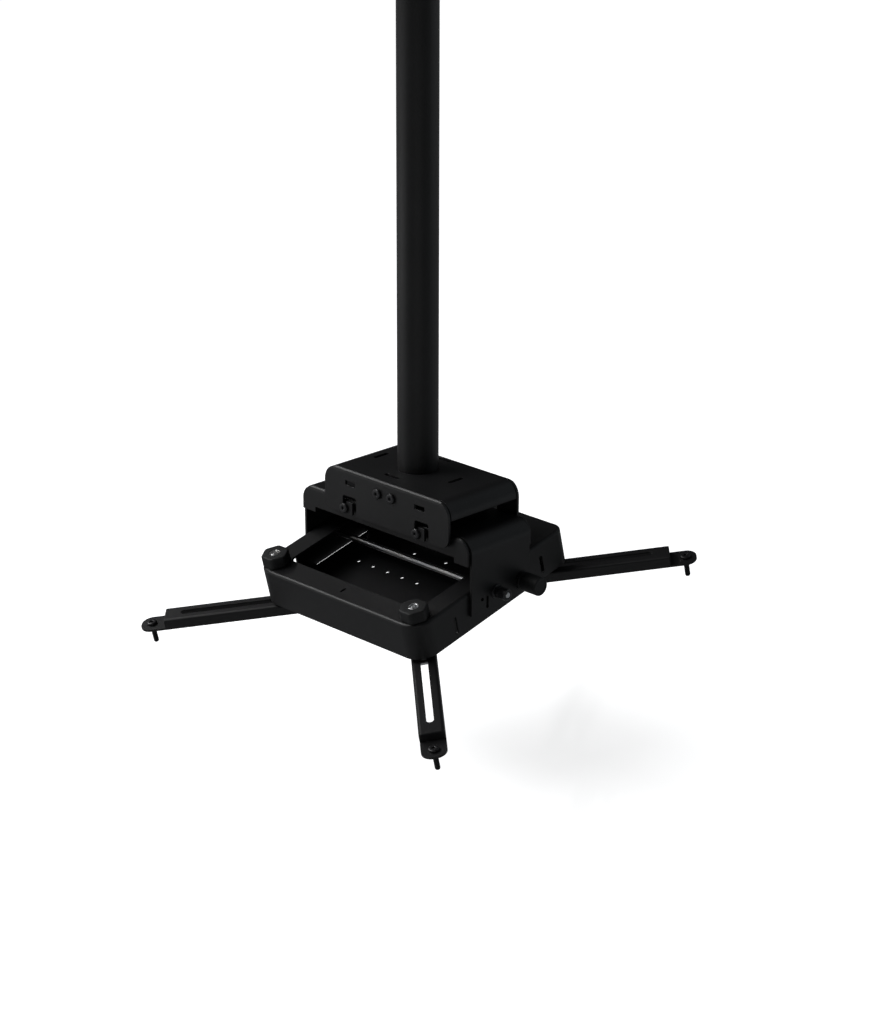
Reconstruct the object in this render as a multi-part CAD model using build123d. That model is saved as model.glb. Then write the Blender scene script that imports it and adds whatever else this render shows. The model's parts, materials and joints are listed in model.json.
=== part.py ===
"""Ceiling mount for a projector: column, hanging bracket, tilting tray and four slotted arms.

Millimetres, +Z up, front of the mount toward -Y. The origin is the centre of the
ceiling plate's top face. Three frames are used below:
head frame: origin on the column axis at the top face of the cap bracket;
tray frame: origin on the tilt axle, tilted with the tray by TRAY_TILT about X;
arm frame: origin on the arm bolt's axis at the arm's top face, +X outward along the arm,
and moved with the arm by the amount that it is slid outward.
"""
import os
from math import atan2, cos, degrees, hypot, radians, sin

from build123d import *

# Sheet, fits and clearances
BRACKET_SHEET = 2.5
BRACKET_BEND = 1.0
TRAY_SHEET = 2.0
TRAY_BEND = 1.0
ARM_SHEET = 2.0
ARM_BEND = 1.0
RELIEF_GAP = 1.2
RUNNING_CLEARANCE = 0.1
TURNING_GAP = 0.3
HOLE_CLEARANCE = 0.2
OVERCUT = 1.0

# Ceiling plate, socket and column
COLUMN_DROP = 484.0
CEILING_PLATE_DIAMETER = 130.0
CEILING_PLATE_THICKNESS = 4.0
CEILING_PLATE_CHAMFER = 1.0
CEILING_BOLT_CIRCLE = 100.0
CEILING_BOLT_HOLE = 8.5
CEILING_BOLT_COUNT = 4
CEILING_BOLT_ANGLE = 45.0
SOCKET_WALL = 4.0
SOCKET_HEIGHT = 45.0
TUBE_DIAMETER = 38.0
TUBE_WALL = 2.0
LOCK_SCREW_DIAMETER = 6.0
LOCK_SCREW_HEAD = 10.0
LOCK_SCREW_HEAD_HEIGHT = 4.0
LOCK_SCREW_DROP = 24.0

# Foot of the column, which carries the cap bracket
FOOT_HUB_WALL = 4.0
FOOT_HUB_HEIGHT = 13.5
FOOT_HUB_DIAMETER = TUBE_DIAMETER + 2 * FOOT_HUB_WALL
FOOT_FLANGE_RIM = 6.0
FOOT_FLANGE_THICKNESS = 3.0
FOOT_FLANGE_DIAMETER = FOOT_HUB_DIAMETER + 2 * FOOT_FLANGE_RIM

# Cap bracket
CAP_LEFT = -71.5
CAP_RIGHT = 89.5
CAP_FRONT = -50.4
CAP_REAR = 40.4
CAP_ROLL = 15.5
CAP_SIDE_DEPTH = 16.5
CAP_PLATE_DEPTH = 43.0
CAP_CORNER = 10.0
CAP_SLOT_LENGTH = 18.5
CAP_SLOT_WIDTH = 4.5
CAP_SIDE_SLOT_RADIUS = 48.5
CAP_END_SLOT_RADIUS = 33.0
WINDOW_WIDTH = 13.0
WINDOW_HEIGHT = 4.5
WINDOW_DROP = 12.7
WINDOW_LEFT = -37.4
WINDOW_RIGHT = 52.8

# Brake block behind the front plate and its two screws
BRAKE_SCREW_CENTRE = 8.0
BRAKE_SCREW_SPACING = 18.0
BRAKE_SCREW_DROP = 12.9
BRAKE_SCREW_DIAMETER = 5.0
BRAKE_SCREW_LENGTH = 14.0
BRAKE_BLOCK_WIDTH = 30.0
BRAKE_BLOCK_HEIGHT = 11.0
BRAKE_BLOCK_DEPTH = 32.5

# Hook screws, which hang the yoke bracket in the cap bracket's slots
HOOK_CENTRE = 2.2
HOOK_SPACING = 94.0
HOOK_SEAT_DROP = 37.5
HOOK_BAR_DROP = 28.2
HOOK_SHIFT = 12.5
HOOK_SLOT_WIDTH = 5.5
HOOK_SCREW_DIAMETER = 5.0
HOOK_SPACER_DIAMETER = 11.0
HOOK_NUT_FLATS = 7.5
HOOK_NUT_HEIGHT = 4.0
HOOK_NUT_SEAT = 0.8
HOOK_THREAD_END = 1.0
PAN_HEAD_DIAMETER = 9.8
PAN_HEAD_HEIGHT = 2.6
PAN_HEAD_EDGE = 1.1
PAN_SOCKET_FLATS = 3.0
PAN_SOCKET_DEPTH = 1.3
PAN_SCREW_TIP = 0.5

# Yoke bracket, whose cheeks stand on either side of the tray
TRAY_HALF_WIDTH = 106.9
PIVOT_WASHER_THICKNESS = 0.6
YOKE_HALF_WIDTH = TRAY_HALF_WIDTH + PIVOT_WASHER_THICKNESS + BRACKET_SHEET
YOKE_TOP_DROP = 31.0
YOKE_FRONT = -45.0
YOKE_REAR = 36.9
YOKE_ROLL = 15.0
YOKE_PLATE_INSET = 2.0
YOKE_PLATE_DEPTH = 19.5
YOKE_TAB_DEPTH = 24.5
YOKE_TAB_WIDTH = 17.0
YOKE_CHEEK_DEPTH = 72.5
YOKE_CHEEK_RISE = 11.5
YOKE_CHEEK_BREAK = -5.0
YOKE_CABLE_HOLE = 40.0
CHEEK_SLOT_Y = -21.0
CHEEK_SLOT_DROP = 94.5
CHEEK_SLOT_WIDTH = 3.0
CHEEK_SLOT_LENGTH = 12.0
CHEEK_HOLE_Y = -27.6
CHEEK_HOLE_DROP = 90.5
CHEEK_HOLE_DIAMETER = 3.5

# Tilt axle and tilt lock
PIVOT_Y = -9.47
PIVOT_DROP = 87.47
TRAY_TILT = 13.78
AXLE_DIAMETER = 6.0
AXLE_STICK_OUT = 14.5
AXLE_CHAMFER = 0.4
AXLE_NUT_FLATS = 10.0
AXLE_NUT_HEIGHT = 6.5
AXLE_FLANGE_DIAMETER = 13.0
AXLE_FLANGE_THICKNESS = 1.3
AXLE_COLLAR_DIAMETER = 11.0
AXLE_WASHER_DIAMETER = 16.0
TILT_LOCK_RADIUS = 33.3
TILT_LOCK_ANGLE = 2.0
TILT_NOSE_UP = 10.0
TILT_NOSE_DOWN = 20.0
TILT_SCREW_DIAMETER = 5.0
TILT_SLOT_SPARE = 2.0
TILT_KNOB_DIAMETER = 17.5
TILT_KNOB_LENGTH = 22.5
TILT_KNOB_CHAMFER = 0.9
TILT_KNOB_WASHER = 1.0
TILT_NUT_DIAMETER = 9.0
TILT_NUT_HEIGHT = 5.0

# Tray
TRAY_HALF_LENGTH = 98.35
TRAY_TOP = 14.15
TRAY_BOTTOM = -22.2
TRAY_FRONT_CORNER = 20.0
TRAY_REAR_CORNER = 10.0
TRAY_SIDE_FLANGE = 22.4
TRAY_END_FLANGE = 25.35
TRAY_OPENING_HALF_WIDTH = TRAY_HALF_WIDTH - TRAY_SIDE_FLANGE
TRAY_OPENING_HALF_LENGTH = TRAY_HALF_LENGTH - TRAY_END_FLANGE
TRAY_OPENING_CORNER = 6.0
TRAY_SIDE_SLOT_LENGTH = 18.0
TRAY_SIDE_SLOT_WIDTH = 4.0
TRAY_SIDE_SLOT_HEIGHT = -8.0
TRAY_SIDE_SLOTS = (-52.0, 63.0)
FLANGE_MARK_INSET = 13.75
FLANGE_MARK_LENGTH = 7.0
FLANGE_MARK_WIDTH = 2.2

# Floor plate of the tray
FLOOR_TAB_HEIGHT = 10.0
FLOOR_TAB_LENGTH = 14.0
FLOOR_TAB_CORNER = 3.0
FLOOR_SIDE_TABS = (-72.0, 48.0)
FLOOR_END_TABS = (-40.0, 40.0)
FLOOR_HOLE_DIAMETER = 4.5
FLOOR_HOLE_PITCH = 19.6
FLOOR_HOLE_COUNT = 5
FLOOR_HOLE_START = -70.0
FLOOR_HOLE_Y = -5.5
FLOOR_EXTRA_HOLES = ((-31.0, 31.0), (8.0, 34.0))
FLOOR_NOTCH_START = -30.5
FLOOR_NOTCH_LENGTH = 69.5
FLOOR_NOTCH_WIDTH = 3.0

# Arm bolts, their spacers under the tray and their knobs
STUD_INSET_X = 15.4
STUD_INSET_Y = 15.35
STUD_X = TRAY_HALF_WIDTH - STUD_INSET_X
STUD_Y = TRAY_HALF_LENGTH - STUD_INSET_Y
STUD_DIAMETER = 6.0
BOLT_HEAD_HEIGHT = 3.2
BOLT_HEAD_CORNER = 1.5
BOLT_TIP = 0.6
SPACER_HEIGHT = 4.0
SPACER_DIAMETER = 18.0
SLEEVE_DIAMETER = 12.0
REAR_NUT_FLATS = 10.0
REAR_NUT_HEIGHT = 5.0
REAR_WASHER_DIAMETER = 16.0
REAR_WASHER_THICKNESS = 1.6
REAR_THREAD_END = 2.0
HEX_KNOB_FLATS = 24.0
HEX_KNOB_HEIGHT = 11.5
HEX_KNOB_EDGE = 1.5
KNOB_FOOT_HEIGHT = 0.4
KNOB_FOOT_RELIEF = 1.0
KNOB_FOOT_WIDTH = 2.5
KNOB_INSERT_DIAMETER = 10.0
KNOB_INSERT_HEIGHT = 8.0

# Arms, and how far the front right and rear right ones are slid outward at rest
ARM_WIDTH = 23.0
ARM_HEIGHT = 10.5
ARM_INNER_LENGTH = 22.0
ARM_SLOT_START = -10.0
ARM_SLOT_END = 97.7
ARM_STEP_X = 116.5
ARM_HOLE_X = 130.5
ARM_TIP_X = 140.9
ARM_TIP_CORNER = 10.5
ARM_OUT_FRONT_RIGHT = 4.8
ARM_OUT_REAR_RIGHT = -2.8
ARM_SCREW_DIAMETER = 5.0
ARM_SCREW_LENGTH = 20.0
ARM_SCREW_NECK = 6.0


def slab(x0, x1, y0, y1, z0, z1):
    """Block between two limits on each axis."""
    return Pos((x0 + x1) / 2, (y0 + y1) / 2, (z0 + z1) / 2) * Box(x1 - x0, y1 - y0, z1 - z0)


def round_bar(axis, radius, start, end, across=(0, 0)):
    """Round bar along X, Y or Z from start to end, at the two other coordinates in order."""
    middle = (start + end) / 2
    bar = Cylinder(radius, end - start)
    if axis == "X":
        return Pos(middle, across[0], across[1]) * Rot(0, 90, 0) * bar
    if axis == "Y":
        return Pos(across[0], middle, across[1]) * Rot(90, 0, 0) * bar
    return Pos(across[0], across[1], middle) * bar


def hexagon_bar(flats, start, end):
    """Six-sided bar along Z, by its width across the flats."""
    return Pos(0, 0, start) * extrude(RegularPolygon(flats / 2, 6, major_radius=False), end - start)


def along_y(sketch, y0, y1):
    """Sketch drawn in X and Z, extruded from y0 to y1."""
    return Pos(0, y1, 0) * extrude(Plane.XZ * sketch, y1 - y0)


def along_x(sketch, x0, x1):
    """Sketch drawn in Y and Z, extruded from x0 to x1."""
    return Pos(x0, 0, 0) * extrude(Plane.YZ * sketch, x1 - x0)


def rectangle(u0, u1, v0, v1):
    """Flat rectangle between two limits on each axis."""
    return Pos((u0 + u1) / 2, (v0 + v1) / 2) * Rectangle(u1 - u0, v1 - v0)


def rounded(sketch, axis, end, radius):
    """Sketch with the corners at one end of an axis rounded: end is 0 for the low one, -1 for the high."""
    return fillet(sketch.vertices().group_by(axis)[end], radius)


def upright_slot(width, length, middle):
    """Slot drawn upright in Y and Z, at a middle point."""
    return Pos(middle[0], middle[1]) * Rot(0, 0, 90) * SlotOverall(length, width)


def in_head(shape):
    """Moves a shape from the head frame to the object's frame."""
    return Pos(0, 0, -COLUMN_DROP) * shape


def in_tray(shape):
    """Moves a shape from the tray frame to the object's frame."""
    return Location((0, PIVOT_Y, -PIVOT_DROP - COLUMN_DROP), (TRAY_TILT, 0, 0)) * shape


def arm_place(side_x, side_y):
    """Place of an arm bolt's frame in the tray frame, pointing away from the tray's middle."""
    direction = degrees(atan2(side_y * STUD_Y, side_x * STUD_X))
    return Location((side_x * STUD_X, side_y * STUD_Y, TRAY_BOTTOM - SPACER_HEIGHT), (0, 0, direction))


def pan_head(diameter, height, socket_flats, socket_depth):
    """Rounded screw head standing on z = 0, with a six-sided socket in its top."""
    head = Pos(0, 0, height / 2) * Cylinder(diameter / 2, height)
    head = fillet(head.edges().group_by(Axis.Z)[-1], PAN_HEAD_EDGE)
    return head - hexagon_bar(socket_flats, height - socket_depth, height + OVERCUT)


def pan_screw(thread, length):
    """Pan-head screw along -Z, with the underside of its head at z = 0."""
    head = pan_head(PAN_HEAD_DIAMETER, PAN_HEAD_HEIGHT, PAN_SOCKET_FLATS, PAN_SOCKET_DEPTH)
    shank = round_bar("Z", thread / 2, -length, 0)
    return head + chamfer(shank.edges().group_by(Axis.Z)[0], PAN_SCREW_TIP)


def facing_front(x, y, z):
    """Place that turns a screw's head toward the front, with its underside at a point."""
    return Location((x, y, z), (90, 0, 0))


def facing_rear(x, y, z):
    """Place that turns a screw's head toward the rear, with its underside at a point."""
    return Location((x, y, z), (-90, 0, 0))


def ceiling_plate():
    """Round plate with bolt holes, a cable hole and a welded socket for the column."""
    under = COLUMN_DROP - CEILING_PLATE_THICKNESS
    plate = round_bar("Z", CEILING_PLATE_DIAMETER / 2, under, COLUMN_DROP)
    plate = chamfer(plate.edges().group_by(Axis.Z)[0], CEILING_PLATE_CHAMFER)
    socket = round_bar("Z", TUBE_DIAMETER / 2 + SOCKET_WALL, under - SOCKET_HEIGHT, under)
    socket -= round_bar("Z", TUBE_DIAMETER / 2, under - SOCKET_HEIGHT, under)
    plate += socket
    plate -= round_bar("Z", TUBE_DIAMETER / 2 - TUBE_WALL, under, COLUMN_DROP)
    for place in PolarLocations(CEILING_BOLT_CIRCLE / 2, CEILING_BOLT_COUNT, CEILING_BOLT_ANGLE):
        hole = round_bar("Z", CEILING_BOLT_HOLE / 2, under, COLUMN_DROP)
        plate -= place * hole
    lock_height = under - LOCK_SCREW_DROP
    reach = TUBE_DIAMETER / 2 + SOCKET_WALL
    plate -= round_bar("X", LOCK_SCREW_DIAMETER / 2, -reach, reach, (0, lock_height))
    return in_head(plate)


def ceiling_lock_screws():
    """Two hexagon-head screws through the socket into the column's wall."""
    height = COLUMN_DROP - CEILING_PLATE_THICKNESS - LOCK_SCREW_DROP
    seat = TUBE_DIAMETER / 2 + SOCKET_WALL
    shank = round_bar("Z", LOCK_SCREW_DIAMETER / 2, TUBE_DIAMETER / 2 - TUBE_WALL, seat)
    screw = shank + hexagon_bar(LOCK_SCREW_HEAD, seat - sagitta(seat), seat + LOCK_SCREW_HEAD_HEIGHT)
    screw -= round_bar("X", seat, -seat, seat)
    screw += shank
    right = Location((0, 0, height), (0, 90, 0)) * screw
    left = Location((0, 0, height), (0, -90, 0)) * screw
    return in_head(Compound(children=[right, left]))


def sagitta(radius):
    """How far a round of this radius falls away under a lock screw's head."""
    half = LOCK_SCREW_HEAD / 2
    return radius - (radius ** 2 - half ** 2) ** 0.5


def column_tube():
    """Round tube from the ceiling plate down through the cap bracket into its foot."""
    top = COLUMN_DROP - CEILING_PLATE_THICKNESS
    bottom = -BRACKET_SHEET - FOOT_FLANGE_THICKNESS - FOOT_HUB_HEIGHT
    tube = round_bar("Z", TUBE_DIAMETER / 2, bottom, top)
    tube -= round_bar("Z", TUBE_DIAMETER / 2 - TUBE_WALL, bottom, top)
    reach = TUBE_DIAMETER / 2
    tube -= round_bar("X", LOCK_SCREW_DIAMETER / 2, -reach, reach, (0, top - LOCK_SCREW_DROP))
    return in_head(tube)


def column_foot():
    """Flanged hub round the column's lower end, which the cap bracket rests and turns on."""
    flange_top = -BRACKET_SHEET
    hub_top = flange_top - FOOT_FLANGE_THICKNESS
    bottom = hub_top - FOOT_HUB_HEIGHT
    foot = round_bar("Z", FOOT_FLANGE_DIAMETER / 2, hub_top, flange_top)
    foot += round_bar("Z", FOOT_HUB_DIAMETER / 2, bottom, hub_top)
    foot -= round_bar("Z", TUBE_DIAMETER / 2, bottom, flange_top)
    return in_head(foot)


def rolled_cover(left, right, front, rear, top, roll, side_outline, plate_outline):
    """Sheet with rolled sides and folded front and rear plates, open along the relief gaps."""
    sheet = BRACKET_SHEET
    low = top - roll
    arch = rounded(rectangle(left, right, low, top), Axis.Y, -1, roll)
    hollow = rectangle(left + sheet, right - sheet, low, top - sheet)
    arch -= rounded(hollow, Axis.Y, -1, roll - sheet)
    side_front = front + sheet + RELIEF_GAP
    side_rear = rear - sheet - RELIEF_GAP
    sides = along_y(arch, side_front, side_rear)
    for inner in (left, right - sheet):
        sides += along_x(side_outline(side_front, side_rear), inner, inner + sheet)

    bend = BRACKET_BEND
    deep = plate_outline.bounding_box().min.Y
    fold = rounded(rectangle(front, rear, deep, top), Axis.Y, -1, bend + sheet)
    fold -= rounded(rectangle(front + sheet, rear - sheet, deep, top - sheet), Axis.Y, -1, bend)
    plates = along_x(fold, left, right)
    for edge in (left, right - roll):
        plates -= slab(edge, edge + roll, front + sheet, rear - sheet, deep, top)
    plates &= along_y(plate_outline, front, rear)
    return sides + plates


def hook_slot(seat_x):
    """Upside-down U slot: up the open leg, across the bar and down into the seat."""
    half = HOOK_SLOT_WIDTH / 2
    seat = Pos(seat_x, -HOOK_SEAT_DROP) * Circle(half)
    seat += rectangle(seat_x - half, seat_x + half, -HOOK_SEAT_DROP, -HOOK_BAR_DROP)
    bar = Pos(seat_x + HOOK_SHIFT / 2, -HOOK_BAR_DROP) * SlotOverall(HOOK_SHIFT + 2 * half, 2 * half)
    entry_x = seat_x + HOOK_SHIFT
    entry = rectangle(entry_x - half, entry_x + half, -CAP_PLATE_DEPTH - OVERCUT, -HOOK_BAR_DROP)
    return seat + bar + entry


def hook_xs():
    """Left and right places of the hook screws."""
    return (HOOK_CENTRE - HOOK_SPACING / 2, HOOK_CENTRE + HOOK_SPACING / 2)


def hook_screw_height():
    """Height at which a hook screw rests in the foot of its slot."""
    return -HOOK_SEAT_DROP - (HOOK_SLOT_WIDTH - HOOK_SCREW_DIAMETER) / 2


def brake_xs():
    """Places of the two brake screws."""
    half = BRAKE_SCREW_SPACING / 2
    return (BRAKE_SCREW_CENTRE - half, BRAKE_SCREW_CENTRE + half)


def cap_bracket():
    """Folded bracket that hangs on the column's foot, with hook slots in both plates."""
    outline = rectangle(CAP_LEFT, CAP_RIGHT, -CAP_PLATE_DEPTH, 0)
    outline = rounded(outline, Axis.Y, -1, CAP_ROLL)
    outline = rounded(outline, Axis.Y, 0, CAP_CORNER)

    def side(front, rear):
        return rectangle(front, rear, -CAP_SIDE_DEPTH, -CAP_ROLL)

    cap = rolled_cover(CAP_LEFT, CAP_RIGHT, CAP_FRONT, CAP_REAR, 0, CAP_ROLL, side, outline)
    cap -= round_bar("Z", TUBE_DIAMETER / 2 + TURNING_GAP, -BRACKET_SHEET, 0)
    for x in (-CAP_SIDE_SLOT_RADIUS, CAP_SIDE_SLOT_RADIUS):
        cap -= Location((x, 0, -BRACKET_SHEET), (0, 0, 90)) * cap_slot()
    for y in (-CAP_END_SLOT_RADIUS, CAP_END_SLOT_RADIUS):
        cap -= Pos(0, y, -BRACKET_SHEET) * cap_slot()
    for x in hook_xs():
        cap -= along_y(hook_slot(x), CAP_FRONT, CAP_REAR)
    window = Rectangle(WINDOW_WIDTH, WINDOW_HEIGHT)
    hole = Circle(BRAKE_SCREW_DIAMETER / 2 + HOLE_CLEARANCE)
    cuts = [Pos(x, -WINDOW_DROP) * window for x in (WINDOW_LEFT, WINDOW_RIGHT)]
    cuts += [Pos(x, -BRAKE_SCREW_DROP) * hole for x in brake_xs()]
    for cut in cuts:
        cap -= along_y(cut, CAP_FRONT, CAP_FRONT + BRACKET_SHEET)
    return in_head(cap)


def cap_slot():
    """Slot through the cap bracket's top, standing on z = 0."""
    return extrude(SlotOverall(CAP_SLOT_LENGTH, CAP_SLOT_WIDTH), BRACKET_SHEET)


def swivel_brake():
    """Block behind the front plate whose hollow face bears on the column's hub."""
    front = CAP_FRONT + BRACKET_SHEET
    half = BRAKE_BLOCK_WIDTH / 2
    low = -BRAKE_SCREW_DROP - BRAKE_BLOCK_HEIGHT / 2
    high = low + BRAKE_BLOCK_HEIGHT
    left = BRAKE_SCREW_CENTRE - half
    right = BRAKE_SCREW_CENTRE + half
    block = slab(left, right, front, front + BRAKE_BLOCK_DEPTH, low, high)
    block -= round_bar("Z", FOOT_HUB_DIAMETER / 2 + TURNING_GAP, low, high)
    for x in brake_xs():
        at = (x, -BRAKE_SCREW_DROP)
        block -= round_bar("Y", BRAKE_SCREW_DIAMETER / 2, front, front + BRAKE_SCREW_LENGTH, at)
    return in_head(block)


def brake_screws():
    """Two pan-head screws that draw the brake block to the front plate."""
    screws = []
    for x in brake_xs():
        screw = pan_screw(BRAKE_SCREW_DIAMETER, BRAKE_SCREW_LENGTH)
        screws.append(facing_front(x, CAP_FRONT, -BRAKE_SCREW_DROP) * screw)
    return in_head(Compound(children=screws))


def yoke_bracket():
    """Folded bracket with two cheeks for the tray, hung in the cap bracket by four screws."""
    top = -YOKE_TOP_DROP
    plate_half = YOKE_HALF_WIDTH - YOKE_PLATE_INSET
    plate_low = top - YOKE_PLATE_DEPTH
    outline = rectangle(-plate_half, plate_half, plate_low, top)
    for end in (-plate_half, plate_half - YOKE_TAB_WIDTH):
        outline += rectangle(end, end + YOKE_TAB_WIDTH, top - YOKE_TAB_DEPTH, plate_low)
    outline = rounded(outline, Axis.Y, -1, YOKE_ROLL - YOKE_PLATE_INSET / 2)

    def cheek(front, rear):
        return make_face(Polyline(
            (front, top - YOKE_ROLL),
            (front, top - YOKE_CHEEK_DEPTH),
            (YOKE_CHEEK_BREAK, top - YOKE_CHEEK_DEPTH),
            (rear, top - YOKE_CHEEK_DEPTH + YOKE_CHEEK_RISE),
            (rear, top - YOKE_ROLL),
            close=True,
        ))

    yoke = rolled_cover(
        -YOKE_HALF_WIDTH, YOKE_HALF_WIDTH, YOKE_FRONT, YOKE_REAR, top, YOKE_ROLL, cheek, outline)
    yoke -= round_bar("Z", YOKE_CABLE_HOLE / 2, top - BRACKET_SHEET, top)
    hole = HOOK_SCREW_DIAMETER / 2 + HOLE_CLEARANCE
    for x in hook_xs():
        yoke -= round_bar("Y", hole, YOKE_FRONT, YOKE_REAR, (x, hook_screw_height()))
    lock_y, lock_z = tilt_lock_point()
    holes = [Pos(PIVOT_Y, -PIVOT_DROP) * Circle(AXLE_DIAMETER / 2)]
    holes.append(Pos(lock_y, lock_z) * Circle(TILT_SCREW_DIAMETER / 2 + TURNING_GAP))
    holes.append(upright_slot(CHEEK_SLOT_WIDTH, CHEEK_SLOT_LENGTH, (CHEEK_SLOT_Y, -CHEEK_SLOT_DROP)))
    holes.append(Pos(CHEEK_HOLE_Y, -CHEEK_HOLE_DROP) * Circle(CHEEK_HOLE_DIAMETER / 2))
    for hole in holes:
        yoke -= along_x(hole, -YOKE_HALF_WIDTH, YOKE_HALF_WIDTH)
    return in_head(yoke)


def hook_screws():
    """Four hook screws, their heads outside the cap bracket's plates."""
    screws = []
    front_length = YOKE_FRONT - CAP_FRONT + BRACKET_SHEET + HOOK_NUT_HEIGHT + HOOK_THREAD_END
    rear_length = CAP_REAR - YOKE_REAR + BRACKET_SHEET + HOOK_NUT_HEIGHT + HOOK_THREAD_END
    for x in hook_xs():
        front = pan_screw(HOOK_SCREW_DIAMETER, front_length)
        screws.append(facing_front(x, CAP_FRONT, hook_screw_height()) * front)
        rear = pan_screw(HOOK_SCREW_DIAMETER, rear_length)
        screws.append(facing_rear(x, CAP_REAR, hook_screw_height()) * rear)
    return in_head(Compound(children=screws))


def hook_spacers():
    """Round spacers on the hook screws, between the cap's plates and the yoke's."""
    gaps = ((CAP_FRONT + BRACKET_SHEET, YOKE_FRONT), (YOKE_REAR, CAP_REAR - BRACKET_SHEET))
    spacers = []
    for x in hook_xs():
        for start, end in gaps:
            at = (x, hook_screw_height())
            spacer = round_bar("Y", HOOK_SPACER_DIAMETER / 2, start, end, at)
            spacers.append(spacer - round_bar("Y", HOOK_SCREW_DIAMETER / 2, start, end, at))
    return in_head(Compound(children=spacers))


def hook_nuts():
    """Four nuts on the hook screws, against the inner faces of the yoke's plates."""
    nut = hexagon_bar(HOOK_NUT_FLATS, 0, HOOK_NUT_HEIGHT)
    nut = chamfer(nut.edges().group_by(Axis.Z)[0], HOOK_NUT_SEAT)
    nut -= round_bar("Z", HOOK_SCREW_DIAMETER / 2, 0, HOOK_NUT_HEIGHT)
    nuts = []
    for x in hook_xs():
        nuts.append(facing_rear(x, YOKE_FRONT + BRACKET_SHEET, hook_screw_height()) * nut)
        nuts.append(facing_front(x, YOKE_REAR - BRACKET_SHEET, hook_screw_height()) * nut)
    return in_head(Compound(children=nuts))


def tilt_lock_point():
    """Place of the tilt lock's axis, as Y and Z in the head frame."""
    angle = radians(TILT_LOCK_ANGLE)
    return (PIVOT_Y + TILT_LOCK_RADIUS * cos(angle), -PIVOT_DROP + TILT_LOCK_RADIUS * sin(angle))


def tilt_axle():
    """Steel rod through both cheeks and both sides of the tray."""
    reach = YOKE_HALF_WIDTH + AXLE_STICK_OUT
    rod = round_bar("X", AXLE_DIAMETER / 2, -reach, reach, (PIVOT_Y, -PIVOT_DROP))
    rod = chamfer(rod.edges().filter_by(GeomType.CIRCLE), AXLE_CHAMFER)
    return in_head(rod)


def axle_nut(side):
    """Dark flange nut with a collar on one end of the axle: side is -1 for left, 1 for right."""
    nut = hexagon_bar(AXLE_NUT_FLATS, 0, AXLE_NUT_HEIGHT)
    nut += round_bar("Z", AXLE_FLANGE_DIAMETER / 2, 0, AXLE_FLANGE_THICKNESS)
    nut += round_bar("Z", AXLE_COLLAR_DIAMETER / 2, 0, AXLE_STICK_OUT - AXLE_CHAMFER)
    nut -= round_bar("Z", AXLE_DIAMETER / 2, 0, AXLE_STICK_OUT)
    place = Location((side * YOKE_HALF_WIDTH, PIVOT_Y, -PIVOT_DROP), (0, side * 90, 0))
    return in_head(place * nut)


def pivot_washers():
    """Two thin washers on the axle, between the cheeks and the tray's sides."""
    washers = []
    outer = TRAY_HALF_WIDTH + PIVOT_WASHER_THICKNESS
    for start, end in ((-outer, -TRAY_HALF_WIDTH), (TRAY_HALF_WIDTH, outer)):
        at = (PIVOT_Y, -PIVOT_DROP)
        washer = round_bar("X", AXLE_WASHER_DIAMETER / 2, start, end, at)
        washers.append(washer - round_bar("X", AXLE_DIAMETER / 2, start, end, at))
    return in_head(Compound(children=washers))


def tilt_knob():
    """Long round knob on the right cheek, with the screw that clamps the tray's side."""
    lock_y, lock_z = tilt_lock_point()
    seat = YOKE_HALF_WIDTH + TILT_KNOB_WASHER
    knob = round_bar("Z", TILT_KNOB_DIAMETER / 2, seat, seat + TILT_KNOB_LENGTH)
    knob = chamfer(knob.edges().group_by(Axis.Z)[-1], TILT_KNOB_CHAMFER)
    shank = round_bar("Z", TILT_SCREW_DIAMETER / 2, tilt_nut_inner_face(), seat)
    return in_head(Location((0, lock_y, lock_z), (0, 90, 0)) * (knob + shank))


def tilt_nut_inner_face():
    """Distance from the middle to the inner face of the tilt lock's nut."""
    return TRAY_HALF_WIDTH - TRAY_SHEET - TILT_NUT_HEIGHT


def tilt_knob_washer():
    """Washer between the tilt knob and the right cheek."""
    at = tilt_lock_point()
    washer = round_bar("X", TILT_KNOB_DIAMETER / 2, YOKE_HALF_WIDTH, YOKE_HALF_WIDTH + TILT_KNOB_WASHER, at)
    bore = TILT_SCREW_DIAMETER / 2 + RUNNING_CLEARANCE
    washer -= round_bar("X", bore, YOKE_HALF_WIDTH, YOKE_HALF_WIDTH + TILT_KNOB_WASHER, at)
    return in_head(washer)


def tilt_lock_nut():
    """Round nut inside the tray's side, which the tilt knob's screw pulls against it."""
    at = tilt_lock_point()
    inner = tilt_nut_inner_face()
    nut = round_bar("X", TILT_NUT_DIAMETER / 2, inner, inner + TILT_NUT_HEIGHT, at)
    bore = TILT_SCREW_DIAMETER / 2 + RUNNING_CLEARANCE
    return in_head(nut - round_bar("X", bore, inner, inner + TILT_NUT_HEIGHT, at))


def tray_outline(inset):
    """Plan outline of the tray, set in from its outer face: larger corners at the front."""
    half_x = TRAY_HALF_WIDTH - inset
    half_y = TRAY_HALF_LENGTH - inset
    plan = Rectangle(2 * half_x, 2 * half_y)
    plan = rounded(plan, Axis.Y, 0, TRAY_FRONT_CORNER - inset)
    return rounded(plan, Axis.Y, -1, TRAY_REAR_CORNER - inset)


def tilt_slot():
    """Arc slot for the tilt lock's screw, drawn in the tray frame's Y and Z."""
    start = TILT_LOCK_ANGLE - TILT_NOSE_DOWN - TILT_SLOT_SPARE
    sweep = TILT_NOSE_UP + TILT_NOSE_DOWN + 2 * TILT_SLOT_SPARE
    path = CenterArc((0, 0), TILT_LOCK_RADIUS, start, sweep)
    return SlotArc(path, TILT_SCREW_DIAMETER + 2 * TURNING_GAP)


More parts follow.
